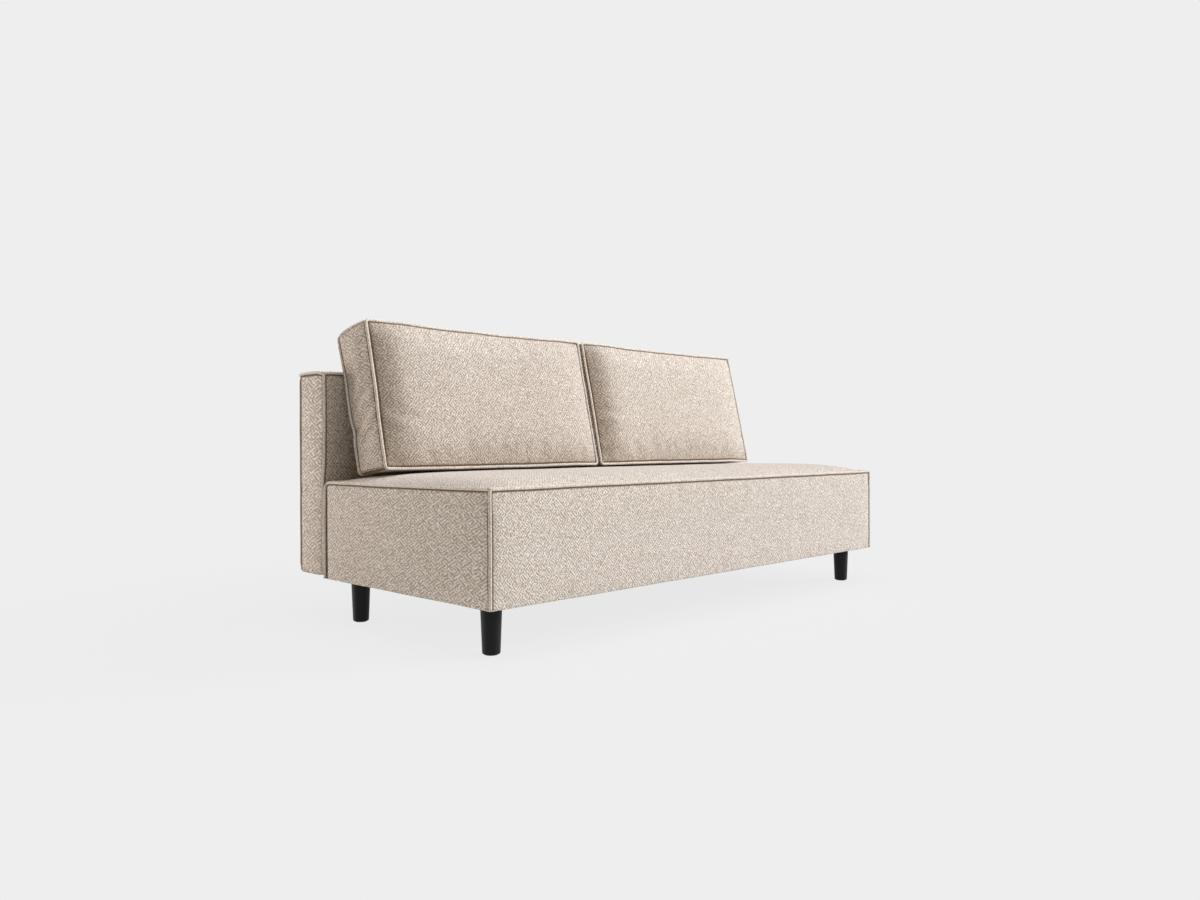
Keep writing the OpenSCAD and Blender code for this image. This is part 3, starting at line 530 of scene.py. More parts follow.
# %% [markdown]
# ## Piping
#
# Piping is a cord wrapped in a strip of the same cloth and sewn between two panels. It could
# be a circle extruded along the seam, but a curve with a round bevel turns its own corners:
# the points follow the seam, and the curve then becomes a mesh.

# %% Piping
PIPING_R = 4.4 * MM


def make_piping(name, points, closed, body, nodes):
    """A tube through the points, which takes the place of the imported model's piping."""
    data = bpy.data.curves.new(name, "CURVE")
    data.dimensions = "3D"
    data.bevel_depth = PIPING_R
    data.bevel_resolution = 3
    data.use_fill_caps = not closed
    spline = data.splines.new("POLY")
    spline.points.add(len(points) - 1)
    for point, at in zip(spline.points, points):
        point.co = (*at, 1)
    spline.use_cyclic_u = closed
    curve = bpy.data.objects.new(name + ".curve", data)
    bpy.context.scene.collection.objects.link(curve)
    tube = bpy.data.meshes.new_from_object(
        curve.evaluated_get(bpy.context.evaluated_depsgraph_get()))
    bpy.data.objects.remove(curve)
    bm = bmesh.new()
    bm.from_mesh(tube)
    bmesh.ops.remove_doubles(bm, verts=bm.verts[:], dist=1e-6)
    piece = make_piece(name, bm, lit_piping_cloth)
    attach(piece, body)
    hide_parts(*nodes)


def loop_of(flat, step):
    """Points about a step apart round a closed run of corners."""
    points = []
    for start, end in zip(flat, flat[1:] + flat[:1]):
        start, end = Vector(start), Vector(end)
        count = max(1, round((end - start).length / step))
        points += [start.lerp(end, k / count) for k in range(count)]
    return points


def rounded_corners(low, high, radius):
    """A rectangle's corners as arcs, in its own plane."""
    centres = [(high[0] - radius, high[1] - radius), (low[0] + radius, high[1] - radius),
               (low[0] + radius, low[1] + radius), (high[0] - radius, low[1] + radius)]
    return [(c[0] + radius * math.cos(a), c[1] + radius * math.sin(a))
            for q, c in enumerate(centres)
            for a in (math.pi / 2 * (q + k / 6) for k in range(7))]


print("a rounded square has", len(rounded_corners((0, 0), (1, 1), 0.01)), "corner points")

# %% [markdown]
# ## Filling
#
# A seat or cushion is a bag of cloth that foam or fibre pushes out from inside. Subdivision
# alone would make it round, but not creased. Cloth simulation with air pressure does both:
# the seams are pinned, the cloth is cut a little larger than its frame, and the pressure blows
# it out until it creases by its seams. A cap keeps every point near where it started.

# %% Filling a sewn body
FILL_FRAMES = 20


def fill_with_air(piece, pinned, pressure, slack, cap_of):
    """Blows a closed piece up with its pinned points held. cap_of(index) limits a move."""
    start = [v.co.copy() for v in piece.data.vertices]
    held = piece.vertex_groups.new(name="held")
    held.add(pinned, 1.0, "REPLACE")
    cloth = piece.modifiers.new("cloth", "CLOTH")
    cloth.settings.quality = 6
    cloth.settings.mass = 0.25
    cloth.settings.tension_stiffness = cloth.settings.compression_stiffness = 18
    cloth.settings.shear_stiffness = 8
    cloth.settings.bending_stiffness = 1.2
    cloth.settings.vertex_group_mass = "held"
    cloth.settings.use_pressure = True
    cloth.settings.uniform_pressure_force = pressure
    cloth.settings.shrink_min = -slack
    cloth.settings.effector_weights.gravity = 0
    cloth.collision_settings.use_collision = False
    cloth.point_cache.frame_start, cloth.point_cache.frame_end = 1, FILL_FRAMES
    for number in range(1, FILL_FRAMES + 1):
        bpy.context.scene.frame_set(number)
    blown = piece.evaluated_get(bpy.context.evaluated_depsgraph_get()).data
    moves = [b.co - s for b, s in zip(blown.vertices, start)]
    piece.modifiers.remove(cloth)
    piece.vertex_groups.remove(held)
    bpy.context.scene.frame_set(1)
    for v, s, move in zip(piece.data.vertices, start, moves):
        cap = cap_of(v.index)
        if move.length > 1e-9 and cap > 0:
            v.co = s + move * (cap * math.tanh(move.length / cap) / move.length)
    return max(m.length for m in moves)


def finish_body(piece, body, nodes):
    """Adds the last subdivision and tells the frame what the body is."""
    smooth = piece.modifiers.new("rounding", "SUBSURF")
    smooth.levels = smooth.render_levels = 1
    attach(piece, body)
    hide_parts(*nodes)


def lip(distance, rest):
    """How far cloth stands out beyond the middle of a piping: a small valley, then a rise."""
    valley = 1.8 * MM * near(distance - 6 * MM, 4 * MM)
    return (1.5 * MM + rest) * rise(distance, 12 * MM) - valley


print("filling takes", FILL_FRAMES, "frames")

# %% [markdown]
# ## The seat
#
# The seat is one upholstered box. Its top panel is crowned over springs and foam, and it
# rounds down to the piping within a hand's width. A sculpted box would do as well, but the
# crown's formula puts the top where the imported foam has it. The front and the ends are padded
# only thinly, so they are almost flat. At the foot the cloth folds under and is stapled.

# %% The seat's body
loop_low, loop_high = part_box("seat_top_piping")
SEAT_LOW = Vector((-0.946, -0.473, 0.1282))
SEAT_HIGH = Vector((0.946, 0.327, 0.424))
SEAT_SIZE = SEAT_HIGH - SEAT_LOW
SEAM_IN = 8.3 * MM
SEAT_SEAM_Z, SEAT_CROWN = 0.4255, 31 * MM
SEAT_SHOULDER, SEAT_REAR_SHOULDER = 67 * MM, 100 * MM
SEAT_WANDER = 0.8 * MM
SEAT_WEAVE = 1.0


def crown_z(x, y):
    """Height of the seat's top, the same formula as in the CAD source."""
    return SEAT_SEAM_Z + SEAT_CROWN * (
        rise(x - loop_low.x - SEAM_IN, SEAT_SHOULDER)
        * rise(loop_high.x - SEAM_IN - x, SEAT_SHOULDER)
        * rise(y - loop_low.y - SEAM_IN, SEAT_SHOULDER)
        * rise(loop_high.y - SEAM_IN - y, SEAT_REAR_SHOULDER))


def dome(first, second, power=4):
    """1 in the middle of a face and 0 at its edges, from two shares of -0.5 to 0.5."""
    return (1 - abs(2 * first) ** power) * (1 - abs(2 * second) ** power)


def seat_point(share):
    """A share of the cube as a place in the plain seat box."""
    return Vector([low + (s + 0.5) * size for s, low, size in zip(share, SEAT_LOW, SEAT_SIZE)])


def lifted(at):
    """The top's front is drawn up a little over the front rail, and its rear corners in."""
    forward = min(1, max(0, -at.y / 0.47))
    high = (at.z - SEAT_LOW.z) / SEAT_SIZE.z
    corner = Vector((math.copysign(SEAT_HIGH.x, at.x), SEAT_HIGH.y, SEAT_HIGH.z))
    pull = 5 * MM * near((at - corner).length, 14 * MM)
    return at + Vector((0, -pull, 4 * MM * forward * high - pull))


def seat_place(share):
    """A share of the cube as a place on the upholstered seat."""
    at = lifted(seat_point(share))
    outside = faces_of(share)
    if outside == [2] and share.z > 0:
        from_seam = min((0.5 - abs(s)) * size for s, size in zip(share.xy, SEAT_SIZE.xy))
        at.z += (crown_z(at.x, at.y) - SEAT_HIGH.z) * rise(from_seam, 3 * MM)
    elif len(outside) == 1 and outside[0] < 2:
        axis = outside[0]
        other = 1 - axis
        from_seam = min((0.5 - share.z) * SEAT_SIZE.z, (0.5 - abs(share[other])) * SEAT_SIZE[other])
        padding = 0 if share.y > RIM else 2.5 * MM * dome(share[other], share.z)
        at[axis] += math.copysign(lip(from_seam, 1.0 * MM) + padding, share[axis])
    return at + wander(at, SEAT_WANDER)


print("the crown's middle is at", round(crown_z(0, -0.07), 3))

# %% [markdown]
# ## The seat's seams
#
# The body's net now gets what the cloth's finish reads: how far each point is from a seam, and
# how much painted shade darkens it. Both could be painted by hand, but the seams run along the
# cube's edges, so the distances come from the share of the cube alone.


# %% The seat's seams
def seat_seam_gap(share, size):
    """Distance from the nearest seam or fold: round the top, up the corners, at the foot."""
    sides = [(0.5 - abs(s)) * length for s, length in zip(share, size)]
    if share.z > RIM:
        return rounded_gap(*sides[:2])
    if share.z < -RIM:
        return 1
    # On the ends' rear half the distance counts shorter, which widens the brown line there: painted
    # shade beside the backrest.
    beside = max(sides[:2]) * (0.55 if abs(share.x) > RIM and share.y > 0 else 1)
    return min(rounded_gap((0.5 - share.z) * size.z, beside), (share.z + 0.5) * size.z + 7 * MM)


def seat_painted_shade(share, size):
    """Painted shade on the ends' front part."""
    return 0.10 * near((share.y + 0.5) * size.y, 0.25) if abs(share.x) > RIM else 0


seat_lines = [net_lines(s, 3 * MM, f * MM) for s, f in zip(SEAT_SIZE, (18, 16, 16))]
seat_body, seat_shares = sewn_body("seat_body", seat_lines, SEAT_SIZE, seat_place, seat_seam_gap,
                                   seat_painted_shade, SEAT_WEAVE)
print("seat body faces", len(seat_body.data.polygons))

# %% [markdown]
# ## Filling the seat
#
# Foam pushes the cover out evenly, so the seat is blown only a little. The seams, the folded
# foot and the back, which the backrest covers, stay where they are.

# %% The seat's filling
seat_pinned = [i for i, s in enumerate(seat_shares)
               if len(faces_of(s)) > 1 or s.z < -0.49 or s.y > 0.49]


def seat_cap(index):
    """Under the cushions, towards the rear, the top is pressed down and hardly blows out."""
    share = seat_shares[index]
    under = 0.85 * rise(share.y - 0.05, 0.08) if share.z > RIM else 0
    return 3.5 * MM * (1 - under) * rise(seat_seam_gap(share, SEAT_SIZE), 25 * MM)


print("the seat's cloth moved", round(fill_with_air(seat_body, seat_pinned, 3, 0.01, seat_cap), 4))
finish_body(seat_body, "sofa", (
    "seat_foam", "seat_felt", "seat_side_padding", "seat_top_panel", "seat_front_panel",
    "seat_rear_panel", "seat_left_panel", "seat_right_panel"))

# %% [markdown]
# ## The seat's piping
#
# One loop runs round the top edge, and a straight length stands at each corner below it. Their
# points could be laid by eye, but here they come from the functions that place the body, so
# they lie in its seams. At the rear the backrest stands so close that the piping is pushed
# out and forward.

# %% The seat's piping
SEAT_CORNER, LOOP_STEP = 5 * MM, 10 * MM
CORNER_STEPS, CORNER_SPAN = 30, 0.985

seat_loop = [lifted(Vector((p.x, p.y, SEAT_HIGH.z))) for p in loop_of(
    rounded_corners(SEAT_LOW.xy, SEAT_HIGH.xy, SEAT_CORNER), LOOP_STEP)]
make_piping("seat_piping", [p + wander(p, SEAT_WANDER) for p in seat_loop], True, "sofa",
            ["seat_top_piping"])
for x_side, x_name in SIDES:
    for y_side, y_name in ((-1, "front"), (1, "rear")):
        stand = Vector((x_side * 4.5 * MM, -3 * MM, 0)) if y_side > 0 else Vector()
        heights = [k / CORNER_STEPS for k in range(CORNER_STEPS + 1)]
        corner = [seat_place(Vector((x_side / 2, y_side / 2, (h - 0.5) * CORNER_SPAN)))
                  + stand * rise((CORNER_STEPS - k) / CORNER_STEPS, 0.1)
                  for k, h in enumerate(heights)]
        make_piping(f"seat_corner_piping_{y_name}_{x_name}", corner, False, "sofa",
                    ["seat_corner_pipings"])
print("points in the seat's loop:", len(seat_loop))

# %% [markdown]
# ## The dust sheet
#
# A sheet of thin black cloth is stapled under the frame. It keeps dust in and hands out. Cloth
# simulation could hang it, but it is stretched and sags only a little between its staples, so
# two small formulas on a grid are enough.

# %% The dust sheet
SHEET_SAG, STAPLE_SAG, SHEET_T = 2.5 * MM, 0.5 * MM, 0.5 * MM
STAPLE_WAVES = 94

sheet_low, sheet_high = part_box("seat_dust_cloth")
bm = bmesh.new()
bmesh.ops.create_grid(bm, x_segments=60, y_segments=26, size=0.5)
for v in bm.verts:
    x, y = v.co.xy
    staples = abs(math.sin(x * STAPLE_WAVES)) * (abs(2 * y) ** 8)
    sag = SHEET_SAG * dome(x, y, 2) + STAPLE_SAG * staples
    v.co = (sheet_low.x + (x + 0.5) * (sheet_high.x - sheet_low.x),
            sheet_low.y + (y + 0.5) * (sheet_high.y - sheet_low.y), sheet_high.z - 0.1 * MM - sag)
bmesh.ops.solidify(bm, geom=bm.faces[:] + bm.edges[:] + bm.verts[:], thickness=-SHEET_T)
dust_sheet = make_piece("dust_sheet", bm, dust_weave)
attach(dust_sheet, "sofa")
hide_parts("seat_dust_cloth")

# %% [markdown]
# ## Round corners
#
# A net on a cube has square corners. A bevel would round them, but it would also add points
# that aren't in the net. Instead the small square at the corner is pressed into a quarter of
# a disc: its outer edges become the arc and its inner edges stay put.


# %% Round corners
def pressed_corner(first, second, radius):
    """Moves two distances from the corner's sides so that the corner becomes an arc."""
    if first >= radius or second >= radius:
        return first, second
    a, b = 1 - first / radius, 1 - second / radius
    return (radius * (1 - a * math.sqrt(1 - b * b / 2)),
            radius * (1 - b * math.sqrt(1 - a * a / 2)))


def around(lines):
    """Shares round the rim of a face, from the lines of its two axes."""
    first, second = lines
    return ([(a, -0.5) for a in first[:-1]] + [(0.5, b) for b in second[:-1]]
            + [(a, 0.5) for a in reversed(first[1:])] + [(-0.5, b) for b in reversed(second[1:])])


print("a corner point goes to", [round(x, 4) for x in pressed_corner(0, 0, 1)])

# %% [markdown]
# ## The backrest
#
# The backrest is a padded frame as wide as the sofa. A piping runs round the front edge, one
# round the rear edge, and a short one over the top of each end. It could be sewn of flat
# panels, but a cube with rounded corners keeps band and panels in one closed body. Where three
# pipings meet, the thick cloth can't make a sharp corner, so the corner is pulled in.

# %% The backrest
BACK_HALF = 0.950
BACK_LOW = Vector((-BACK_HALF, 0.336, 0.140))
BACK_HIGH = Vector((BACK_HALF, 0.482, 0.760))
BACK_SIZE = BACK_HIGH - BACK_LOW
BACK_CORNER = 7 * MM
BACK_WEAVE = 0.78
END_BOW, BOW_REACH, BOW_FOOT = 9 * MM, 0.04, 0.44


def corner_pull(at, share):
    """A shift inwards near a corner, mostly along the backrest's end."""
    corner = Vector([high if s > 0 else low for s, low, high in zip(share, BACK_LOW, BACK_HIGH)])
    inwards = Vector([-math.copysign(pull, s) for s, pull in zip(share, (0.4, 1, 1))]).normalized()
    return inwards * 7 * MM * near((at - corner).length, 13 * MM)


def back_place(share):
    """A share of the cube as a place on the backrest. Its ends' front edges bow forward."""
    ends = [(0.5 - abs(share[axis])) * BACK_SIZE[axis] for axis in (0, 2)]
    moved = pressed_corner(*ends, BACK_CORNER)
    at = Vector([low + (s + 0.5) * size for s, low, size in zip(share, BACK_LOW, BACK_SIZE)])
    for axis, old, new in zip((0, 2), ends, moved):
        at[axis] += math.copysign(old - new, share[axis])
    outside = faces_of(share)
    if outside == [1]:
        front = share.y < 0
        puff = (0.8 if front else 3.0) * MM * dome(share.x, share.z)
        at.y += math.copysign(lip(min(ends), 0.6 * MM) + puff, share.y)
    elif outside and 1 not in outside:
        from_seam = back_seam_gap(share, BACK_SIZE)
        out = Vector([math.copysign(1 if axis in outside else 0, share[axis])
                      for axis in range(3)]).normalized()
        if ends[0] < BACK_CORNER and ends[1] < BACK_CORNER:
            out = Vector((math.copysign(BACK_CORNER - moved[0], share.x), 0,
                          math.copysign(BACK_CORNER - moved[1], share.z))).normalized()
        at += out * lip(from_seam, 2.5 * MM)
    at.y -= (END_BOW * (0.5 - share.y) * near(BACK_HALF - abs(at.x), BOW_REACH)
             * rise(at.z - BOW_FOOT, BOW_REACH))
    return at + corner_pull(at, share) + wander(at, 1.0 * MM)


def back_seam_gap(share, size):
    """Distance from the nearest seam. The rear seam's brown line is made wider: painted shade along
    the backrest's rear edge.
    """
    gaps = [(0.5 - abs(s)) * length for s, length in zip(share, size)]
    if abs(share.y) > RIM:
        return rounded_gap(gaps[0], gaps[2])
    from_seam = gaps[1] * (0.52 if share.y > 0 else 1)
    if share.z > 0:
        return rounded_gap(from_seam, max(gaps[0], gaps[2]))
    return min(from_seam, max(gaps[0], gaps[2]) + 7 * MM)


def back_painted_shade(share, size):
    """Painted shade on the backrest's front, behind the cushions."""
    return 0.43 if share.y < -RIM and abs(share.z) < RIM and abs(share.x) < RIM else 0


print("the backrest's corner goes to", [round(x, 3) for x in back_place(Vector((0.5, 0.5, 0.5)))])

# %% [markdown]
# ## The backrest's body and piping
#
# The body is sewn and filled as the seat was. Its front stays flat, as the frame's front board
# is close behind it. The pipings' points come from the same function as the body's, so they
# lie in its seams without being fitted by hand.

# %% The backrest's body and piping
back_lines = [net_lines(s, 3 * MM, f * MM) for s, f in zip(BACK_SIZE, (20, 14, 18))]
back_body, back_shares = sewn_body("back_body", back_lines, BACK_SIZE, back_place, back_seam_gap,
                                   back_painted_shade, BACK_WEAVE)
back_pinned = [i for i, s in enumerate(back_shares)
               if len(faces_of(s)) > 1 or s.y < -0.49 or s.z < -0.49]


def back_cap(index):
    """How far the cloth may blow out, from nothing at a seam."""
    return 3 * MM * rise(back_seam_gap(back_shares[index], BACK_SIZE), 25 * MM)


print("the backrest's cloth moved",
      round(fill_with_air(back_body, back_pinned, 3, 0.01, back_cap), 4))
finish_body(back_body, "sofa", (
    "back_foam", "back_edge_padding", "back_rear_padding", "back_front_panel",
    "back_rear_panel", "back_boxing"))


def tucked(a, b):
    """The rear piping sits a little behind the band, so it hardly shows from the front."""
    return Vector((-math.copysign(6.6 * MM, a) if abs(a) > RIM else 0, 0.6 * MM,
                   -math.copysign(2.6 * MM, b) if abs(b) > RIM else 0))


rim = around(back_lines[::2])
make_piping("back_front_edge_piping", [back_place(Vector((a, -0.5, b))) for a, b in rim],
            True, "sofa", ["back_front_piping"])
make_piping("back_rear_edge_piping",
            [back_place(Vector((a, 0.5, b))) + tucked(a, b) for a, b in rim],
            True, "sofa", ["back_rear_piping"])
for x_side, x_name in SIDES:
    over = [back_place(Vector((x_side / 2, k / 16 - 0.5, 0.5))) for k in range(17)]
    make_piping(f"back_end_piping_{x_name}", over, False, "sofa", ["back_front_piping"])
print("backrest faces", len(back_body.data.polygons))

# %% [markdown]
# ## The back cushions
#
# A cushion has a front panel, a back panel, a band up its sides and over its top, and a base
# with a zip. Both panels lean back, the rear one a little more, so the cushion is thicker at
# its top. The sides draw in at mid height and the top edge sags between its corners. The
# fill makes the front swell out, and where the cushion leans on the backrest it is pressed
# flat. Places on a panel are given by u, from -1 to 1 across, and t, from 0 at the foot to 1.
# In the photograph both cushions lie a finger's width to the right of their even places.
# Two flat rectangles could be bridged to make such a cushion. Measuring along both panels
# keeps each seam and crease at its place when a lean or a width changes.

# %% The cushions' frame
CUSHION_X, CUSHION_HALF = 0.453, 0.442
CUSHION_SPANS = {-1: (-0.883, -0.0095), 1: (0.0125, 0.914)}
FRONT_H, BACK_H = 0.458, 0.450
TOE, FOOT = Vector((0, 0.083166, 0.467123)), Vector((0, 0.231983, 0.448323))
FRONT_LEAN, BACK_LEAN, FOOT_SLOPE = (math.radians(a) for a in (12.9, 17, 7.2))
FRONT_UP = Vector((0, math.sin(FRONT_LEAN), math.cos(FRONT_LEAN)))
FRONT_OUT = Vector((0, -math.cos(FRONT_LEAN), math.sin(FRONT_LEAN)))
BACK_UP = Vector((0, math.sin(BACK_LEAN), math.cos(BACK_LEAN)))
BACK_OUT = Vector((0, math.cos(BACK_LEAN), -math.sin(BACK_LEAN)))
BASE_OUT = Vector((0, -math.sin(FOOT_SLOPE), -math.cos(FOOT_SLOPE)))
SIDE_DRAW, TOP_SAG = 2 * MM, 6 * MM
FRONT_SWELL, BACK_CROWN = 32 * MM, 12 * MM
LEAN_SHARE, PRESS_SHARE = 0.7243, 0.3
CUSHION_SIZE = Vector((2 * CUSHION_HALF, 0.155, 0.454))
CUSHION_CORNER = 9 * MM
CUSHION_WEAVE = {-1: 0.89, 1: 0.8}


def panel_point(side, start, up, height, u, t):
    """A point on a cushion's panel before it bellies out."""
    left, right = CUSHION_SPANS[side]
    reach = (right - left) / 2 - SIDE_DRAW * math.sin(math.pi * t)
    climb = t * (height - TOP_SAG * (1 - u * u))
    return Vector(((left + right) / 2 + u * reach, 0, 0)) + start + up * climb


def belly(u, t):
    """1 in the middle of a panel and 0 at its edges."""
    return (1 - abs(u) ** 3) * (1 - abs(2 * t - 1) ** 3)


def pressed(t):
    """0 where the cushion leans on the backrest's top edge and 1 where it is free."""
    return 1 - near(t - LEAN_SHARE, PRESS_SHARE)


print("belly at mid height near the side:", round(belly(0.9, 0.5), 3))

# %% [markdown]
# ## Creases
#
# Fill slumps a little towards a cushion's foot, and the cloth left over folds softly beside
# the piping. Cloth simulation would put such folds somewhere else after each change, so the
# ones that the photograph shows are drawn one by one. A crease is a shallow valley with a low
# ridge along one side of it. It lies at a place on a panel, in metres, is turned by an angle
# and fades out at its ends. Its length, width and depth are in millimetres.


# %% Creases
class Crease:
    """One fold of a panel or band."""

    def __init__(self, place, degrees, length, width, depth):
        self.place, self.depth = Vector(place), depth * MM
        self.along = Vector((math.cos(math.radians(degrees)), math.sin(math.radians(degrees))))
        self.length, self.width = length * MM, width * MM

    def height(self, at):
        """How far the cloth at this place is pushed out by the crease, mostly below 0."""
        away = at - self.place
        down = away.dot(self.along) / self.length
        across = (away.x * self.along.y - away.y * self.along.x) / self.width
        shape = near(across, 1) - 0.5 * near(across - 1.7, 1)
        return -self.depth * shape * near(down, 1)


FRONT_CREASES = {
    -1: [Crease((-0.412, 0.26), 90, 130, 24, 2.5), Crease((-0.385, 0.165), -18, 60, 17, 5.0),
         Crease((-0.40, 0.075), 30, 45, 13, 2.5), Crease((0.39, 0.09), 115, 50, 12, 2.0)],
    1: [Crease((-0.412, 0.25), 90, 170, 26, 2.5), Crease((-0.375, 0.19), -12, 55, 16, 4.0),
        Crease((-0.39, 0.10), 25, 50, 14, 3.5), Crease((0.395, 0.12), 118, 45, 12, 2.0)]}
BAND_CREASES = {
    -1: [Crease((0.08, 0.165), 156, 65, 14, 11.0), Crease((0.07, 0.108), 155, 60, 13, 8.0),
         Crease((0.08, 0.228), 152, 60, 14, 7.0), Crease((0.03, 0.33), 100, 90, 17, 5.0)],
    1: [Crease((0.06, 0.12), 128, 55, 9, 2.8), Crease((0.11, 0.2), 125, 55, 10, 2.4)]}
print("creases", sum(len(c) for c in [*FRONT_CREASES.values(), *BAND_CREASES.values()]))

# %% [markdown]
# ## The sides of a cushion
#
# Each side of a cushion is pushed out in its own way. The front swells, the rear is flat where
# it leans, and the band bulges, most at its upright sides. The side that faces the other
# cushion stays flatter, because there is hardly any room between the two. The base gets a
# groove for the zip, a little deeper than its slider. One formula for all sides would be
# shorter, but no real cushion is the same all round.

# %% How far each side stands out
BASE_MM = 150
BASE_DEPTH = BASE_MM * MM
ZIP_IN = 45 * MM
ZIP_HALF = 382 * MM
GROOVE_DEPTH, GROOVE_HALF = 4.9 * MM, 6.5 * MM
GROOVE_PAST_ZIP, GROOVE_FADE = 21 * MM, 9 * MM
SWELL_LEFT, SWELL_RIGHT = 42 * MM, 85 * MM
SWELL_FOOT, SWELL_TOP = 44 * MM, 27 * MM
TOP_BULGE, SIDE_BULGE = 3 * MM, 6 * MM
INNER_SLACK = 0.25


def front_push(side, share, u, t, moved):
    """The front swells out over the fill, less steeply at its right and foot, and folds."""
    on_panel = Vector((u * CUSHION_HALF, t * FRONT_H))
    folds = sum(c.height(on_panel) for c in FRONT_CREASES[side])
    swell = FRONT_SWELL * (rise(moved[0], SWELL_RIGHT if share.x > 0 else SWELL_LEFT)
                           * rise(moved[1], SWELL_FOOT if share.z < 0 else SWELL_TOP))
    return FRONT_OUT * (lip(min(moved), 0) + swell + 3 * MM * belly(u, t)
                        + folds * rise(min(moved), 10 * MM))


def rear_push(u, t, moved):
    """The rear is crowned, but flat where it leans on the backrest."""
    free = pressed(t)
    return BACK_OUT * (lip(min(moved), 3 * MM * free) + BACK_CROWN * belly(u, t) * free)


def band_out(share, deep, ends, moved):
    """The direction in which the band faces, turning from side to top round a corner."""
    up = FRONT_UP.lerp(BACK_UP, deep).normalized()
    if moved != tuple(ends):
        return (Vector((math.copysign(CUSHION_CORNER - moved[0], share.x), 0, 0))
                + up * math.copysign(CUSHION_CORNER - moved[1], share.z)).normalized()
    return up if abs(share.z) > RIM else Vector((math.copysign(1, share.x), 0, 0))


def band_push(side, share, t, ends, moved):
    """The band bulges. Its upright sides do so most a third of the way back, and fold."""
    deep = share.y + 0.5
    outside = faces_of(share)
    slack = INNER_SLACK if side * share.x < 0 else 1
    from_seam = (0.5 - abs(share.y)) * BASE_DEPTH
    if 2 in outside:
        puff = TOP_BULGE * (1 - (2 * share.y) ** 2)
    else:
        puff = SIDE_BULGE * (6.75 * deep * (1 - deep) ** 2 * slack * belly(0, t))
    rest = 3 * MM * slack * (1 - 0.85 * deep if outside == [0] else 1)
    folds = 0
    if outside == [0]:
        band = Vector(((deep if share.x < 0 else 1 - deep) * BASE_DEPTH, t * FRONT_H))
        folds = sum(c.height(band) for c in BAND_CREASES[int(math.copysign(1, share.x))])
    return band_out(share, deep, ends, moved) * (
        lip(from_seam, rest) + puff + folds * slack * rise(from_seam, 12 * MM))


def base_push(share, u, from_zip):
    """The base sags a little behind its toe and has a groove along its zip."""
    past_end = ZIP_HALF + GROOVE_PAST_ZIP - abs(from_zip.x)
    inside_zip = min(1, max(0, past_end / GROOVE_FADE))
    groove = GROOVE_DEPTH * (1 if abs(from_zip.y) < GROOVE_HALF else 0) * inside_zip
    sag = 3.5 * MM * near(share.y + 0.5 - 0.3, 0.2) * (1 - abs(u) ** 4)
    from_seam = (0.5 - abs(share.y)) * BASE_DEPTH
    return BASE_OUT * (1.5 * MM * rise(from_seam, 3 * MM) + sag - groove)


print("the groove is", round(GROOVE_DEPTH / MM, 1), "mm deep")

# %% [markdown]
# ## A cushion's body
#
# The two panels and what stands between them are now put together. The rear seam isn't
# straight up the sides: it is drawn forward in two places. The base stays calm round the zip,
# so that the slider runs free. Both cushions could be copies of one, but in the photograph
# each has its own width, folds and droop, so one function makes both from their own numbers.

# %% A cushion's body
DEPTH_LINES = [x / BASE_MM - 0.5 for x in (
    0, 3, 7, 12, 19, 28, 40, 53, 66, 78, 88, 96, 99, 105, 111, 114, 120, 128, 136, 142, 147,
    BASE_MM)]
CUSHION_LINES = [net_lines(CUSHION_SIZE.x, 3 * MM, 13 * MM), DEPTH_LINES,
                 net_lines(CUSHION_SIZE.z, 3 * MM, 12 * MM)]
REAR_TUCKS = ((0.74, 0.14, 3.5 * MM), (0.30, 0.065, 9 * MM))
OUTER_DROOP = {-1: -2 * MM, 1: 6 * MM}
OUTER_REACH = {-1: 6 * MM, 1: 0}


def cushion_seam_gap(share, size):
    """Distance from the nearest seam. The end seams have no piping, so they count as further."""
    gaps = [(0.5 - abs(s)) * length for s, length in zip(share, size)]
    if abs(share.y) > RIM:
        return rounded_gap(gaps[0], gaps[2])
    if share.z < -RIM:
        return min(gaps[0], gaps[1])
    return min(gaps[1], abs(max(gaps[0], gaps[2]) - 6 * MM) + 7 * MM)


def rear_tuck(u, t, deep):
    """How far the rear seam is drawn forward at the sides of a cushion."""
    return deep ** 2 * u ** 4 * sum(
        depth * near(t - middle, width) for middle, width, depth in REAR_TUCKS)


def cushion_place(side):
    """The function that takes a share of the cube to its place on one of the cushions."""
    def place(share):
        ends = [(0.5 - abs(share[axis])) * CUSHION_SIZE[axis] for axis in (0, 2)]
        moved = pressed_corner(*ends, CUSHION_CORNER)
        u = math.copysign(1 - 2 * moved[0] / CUSHION_SIZE.x, share.x)
        t = 0.5 + math.copysign(0.5 - moved[1] / CUSHION_SIZE.z, share.z)
        deep = share.y + 0.5
        at = panel_point(side, TOE, FRONT_UP, FRONT_H, u, t).lerp(
            panel_point(side, FOOT, BACK_UP, BACK_H, u, t), deep)
        from_zip = Vector(((at.x - side * CUSHION_X), (deep - 1) * BASE_DEPTH + ZIP_IN))
        outer = max(0, side * u)
        at.y -= rear_tuck(u, t, deep)
        at.x += side * OUTER_REACH[side] * outer ** 4 * (1 - deep)
        at.z -= OUTER_DROOP[side] * outer ** 8 * (1 - deep) * (1 - t) ** 4
        outside = faces_of(share)
        calm = 1
        if outside == [1]:
            front = share.y < 0
            at += front_push(side, share, u, t, moved) if front else rear_push(u, t, moved)
        elif outside and 1 not in outside and share.z > -RIM:
            at += band_push(side, share, t, ends, moved)
        elif outside == [2]:
            at += base_push(share, u, from_zip)
            calm = 1 - 0.92 * rise(cushion_seam_gap(share, CUSHION_SIZE), 15 * MM)
        return at + wander(at, (1.6 + 0.8 * deep) * MM * calm, 0.13)
    return place


print("lines along a cushion:", [len(lines) for lines in CUSHION_LINES])

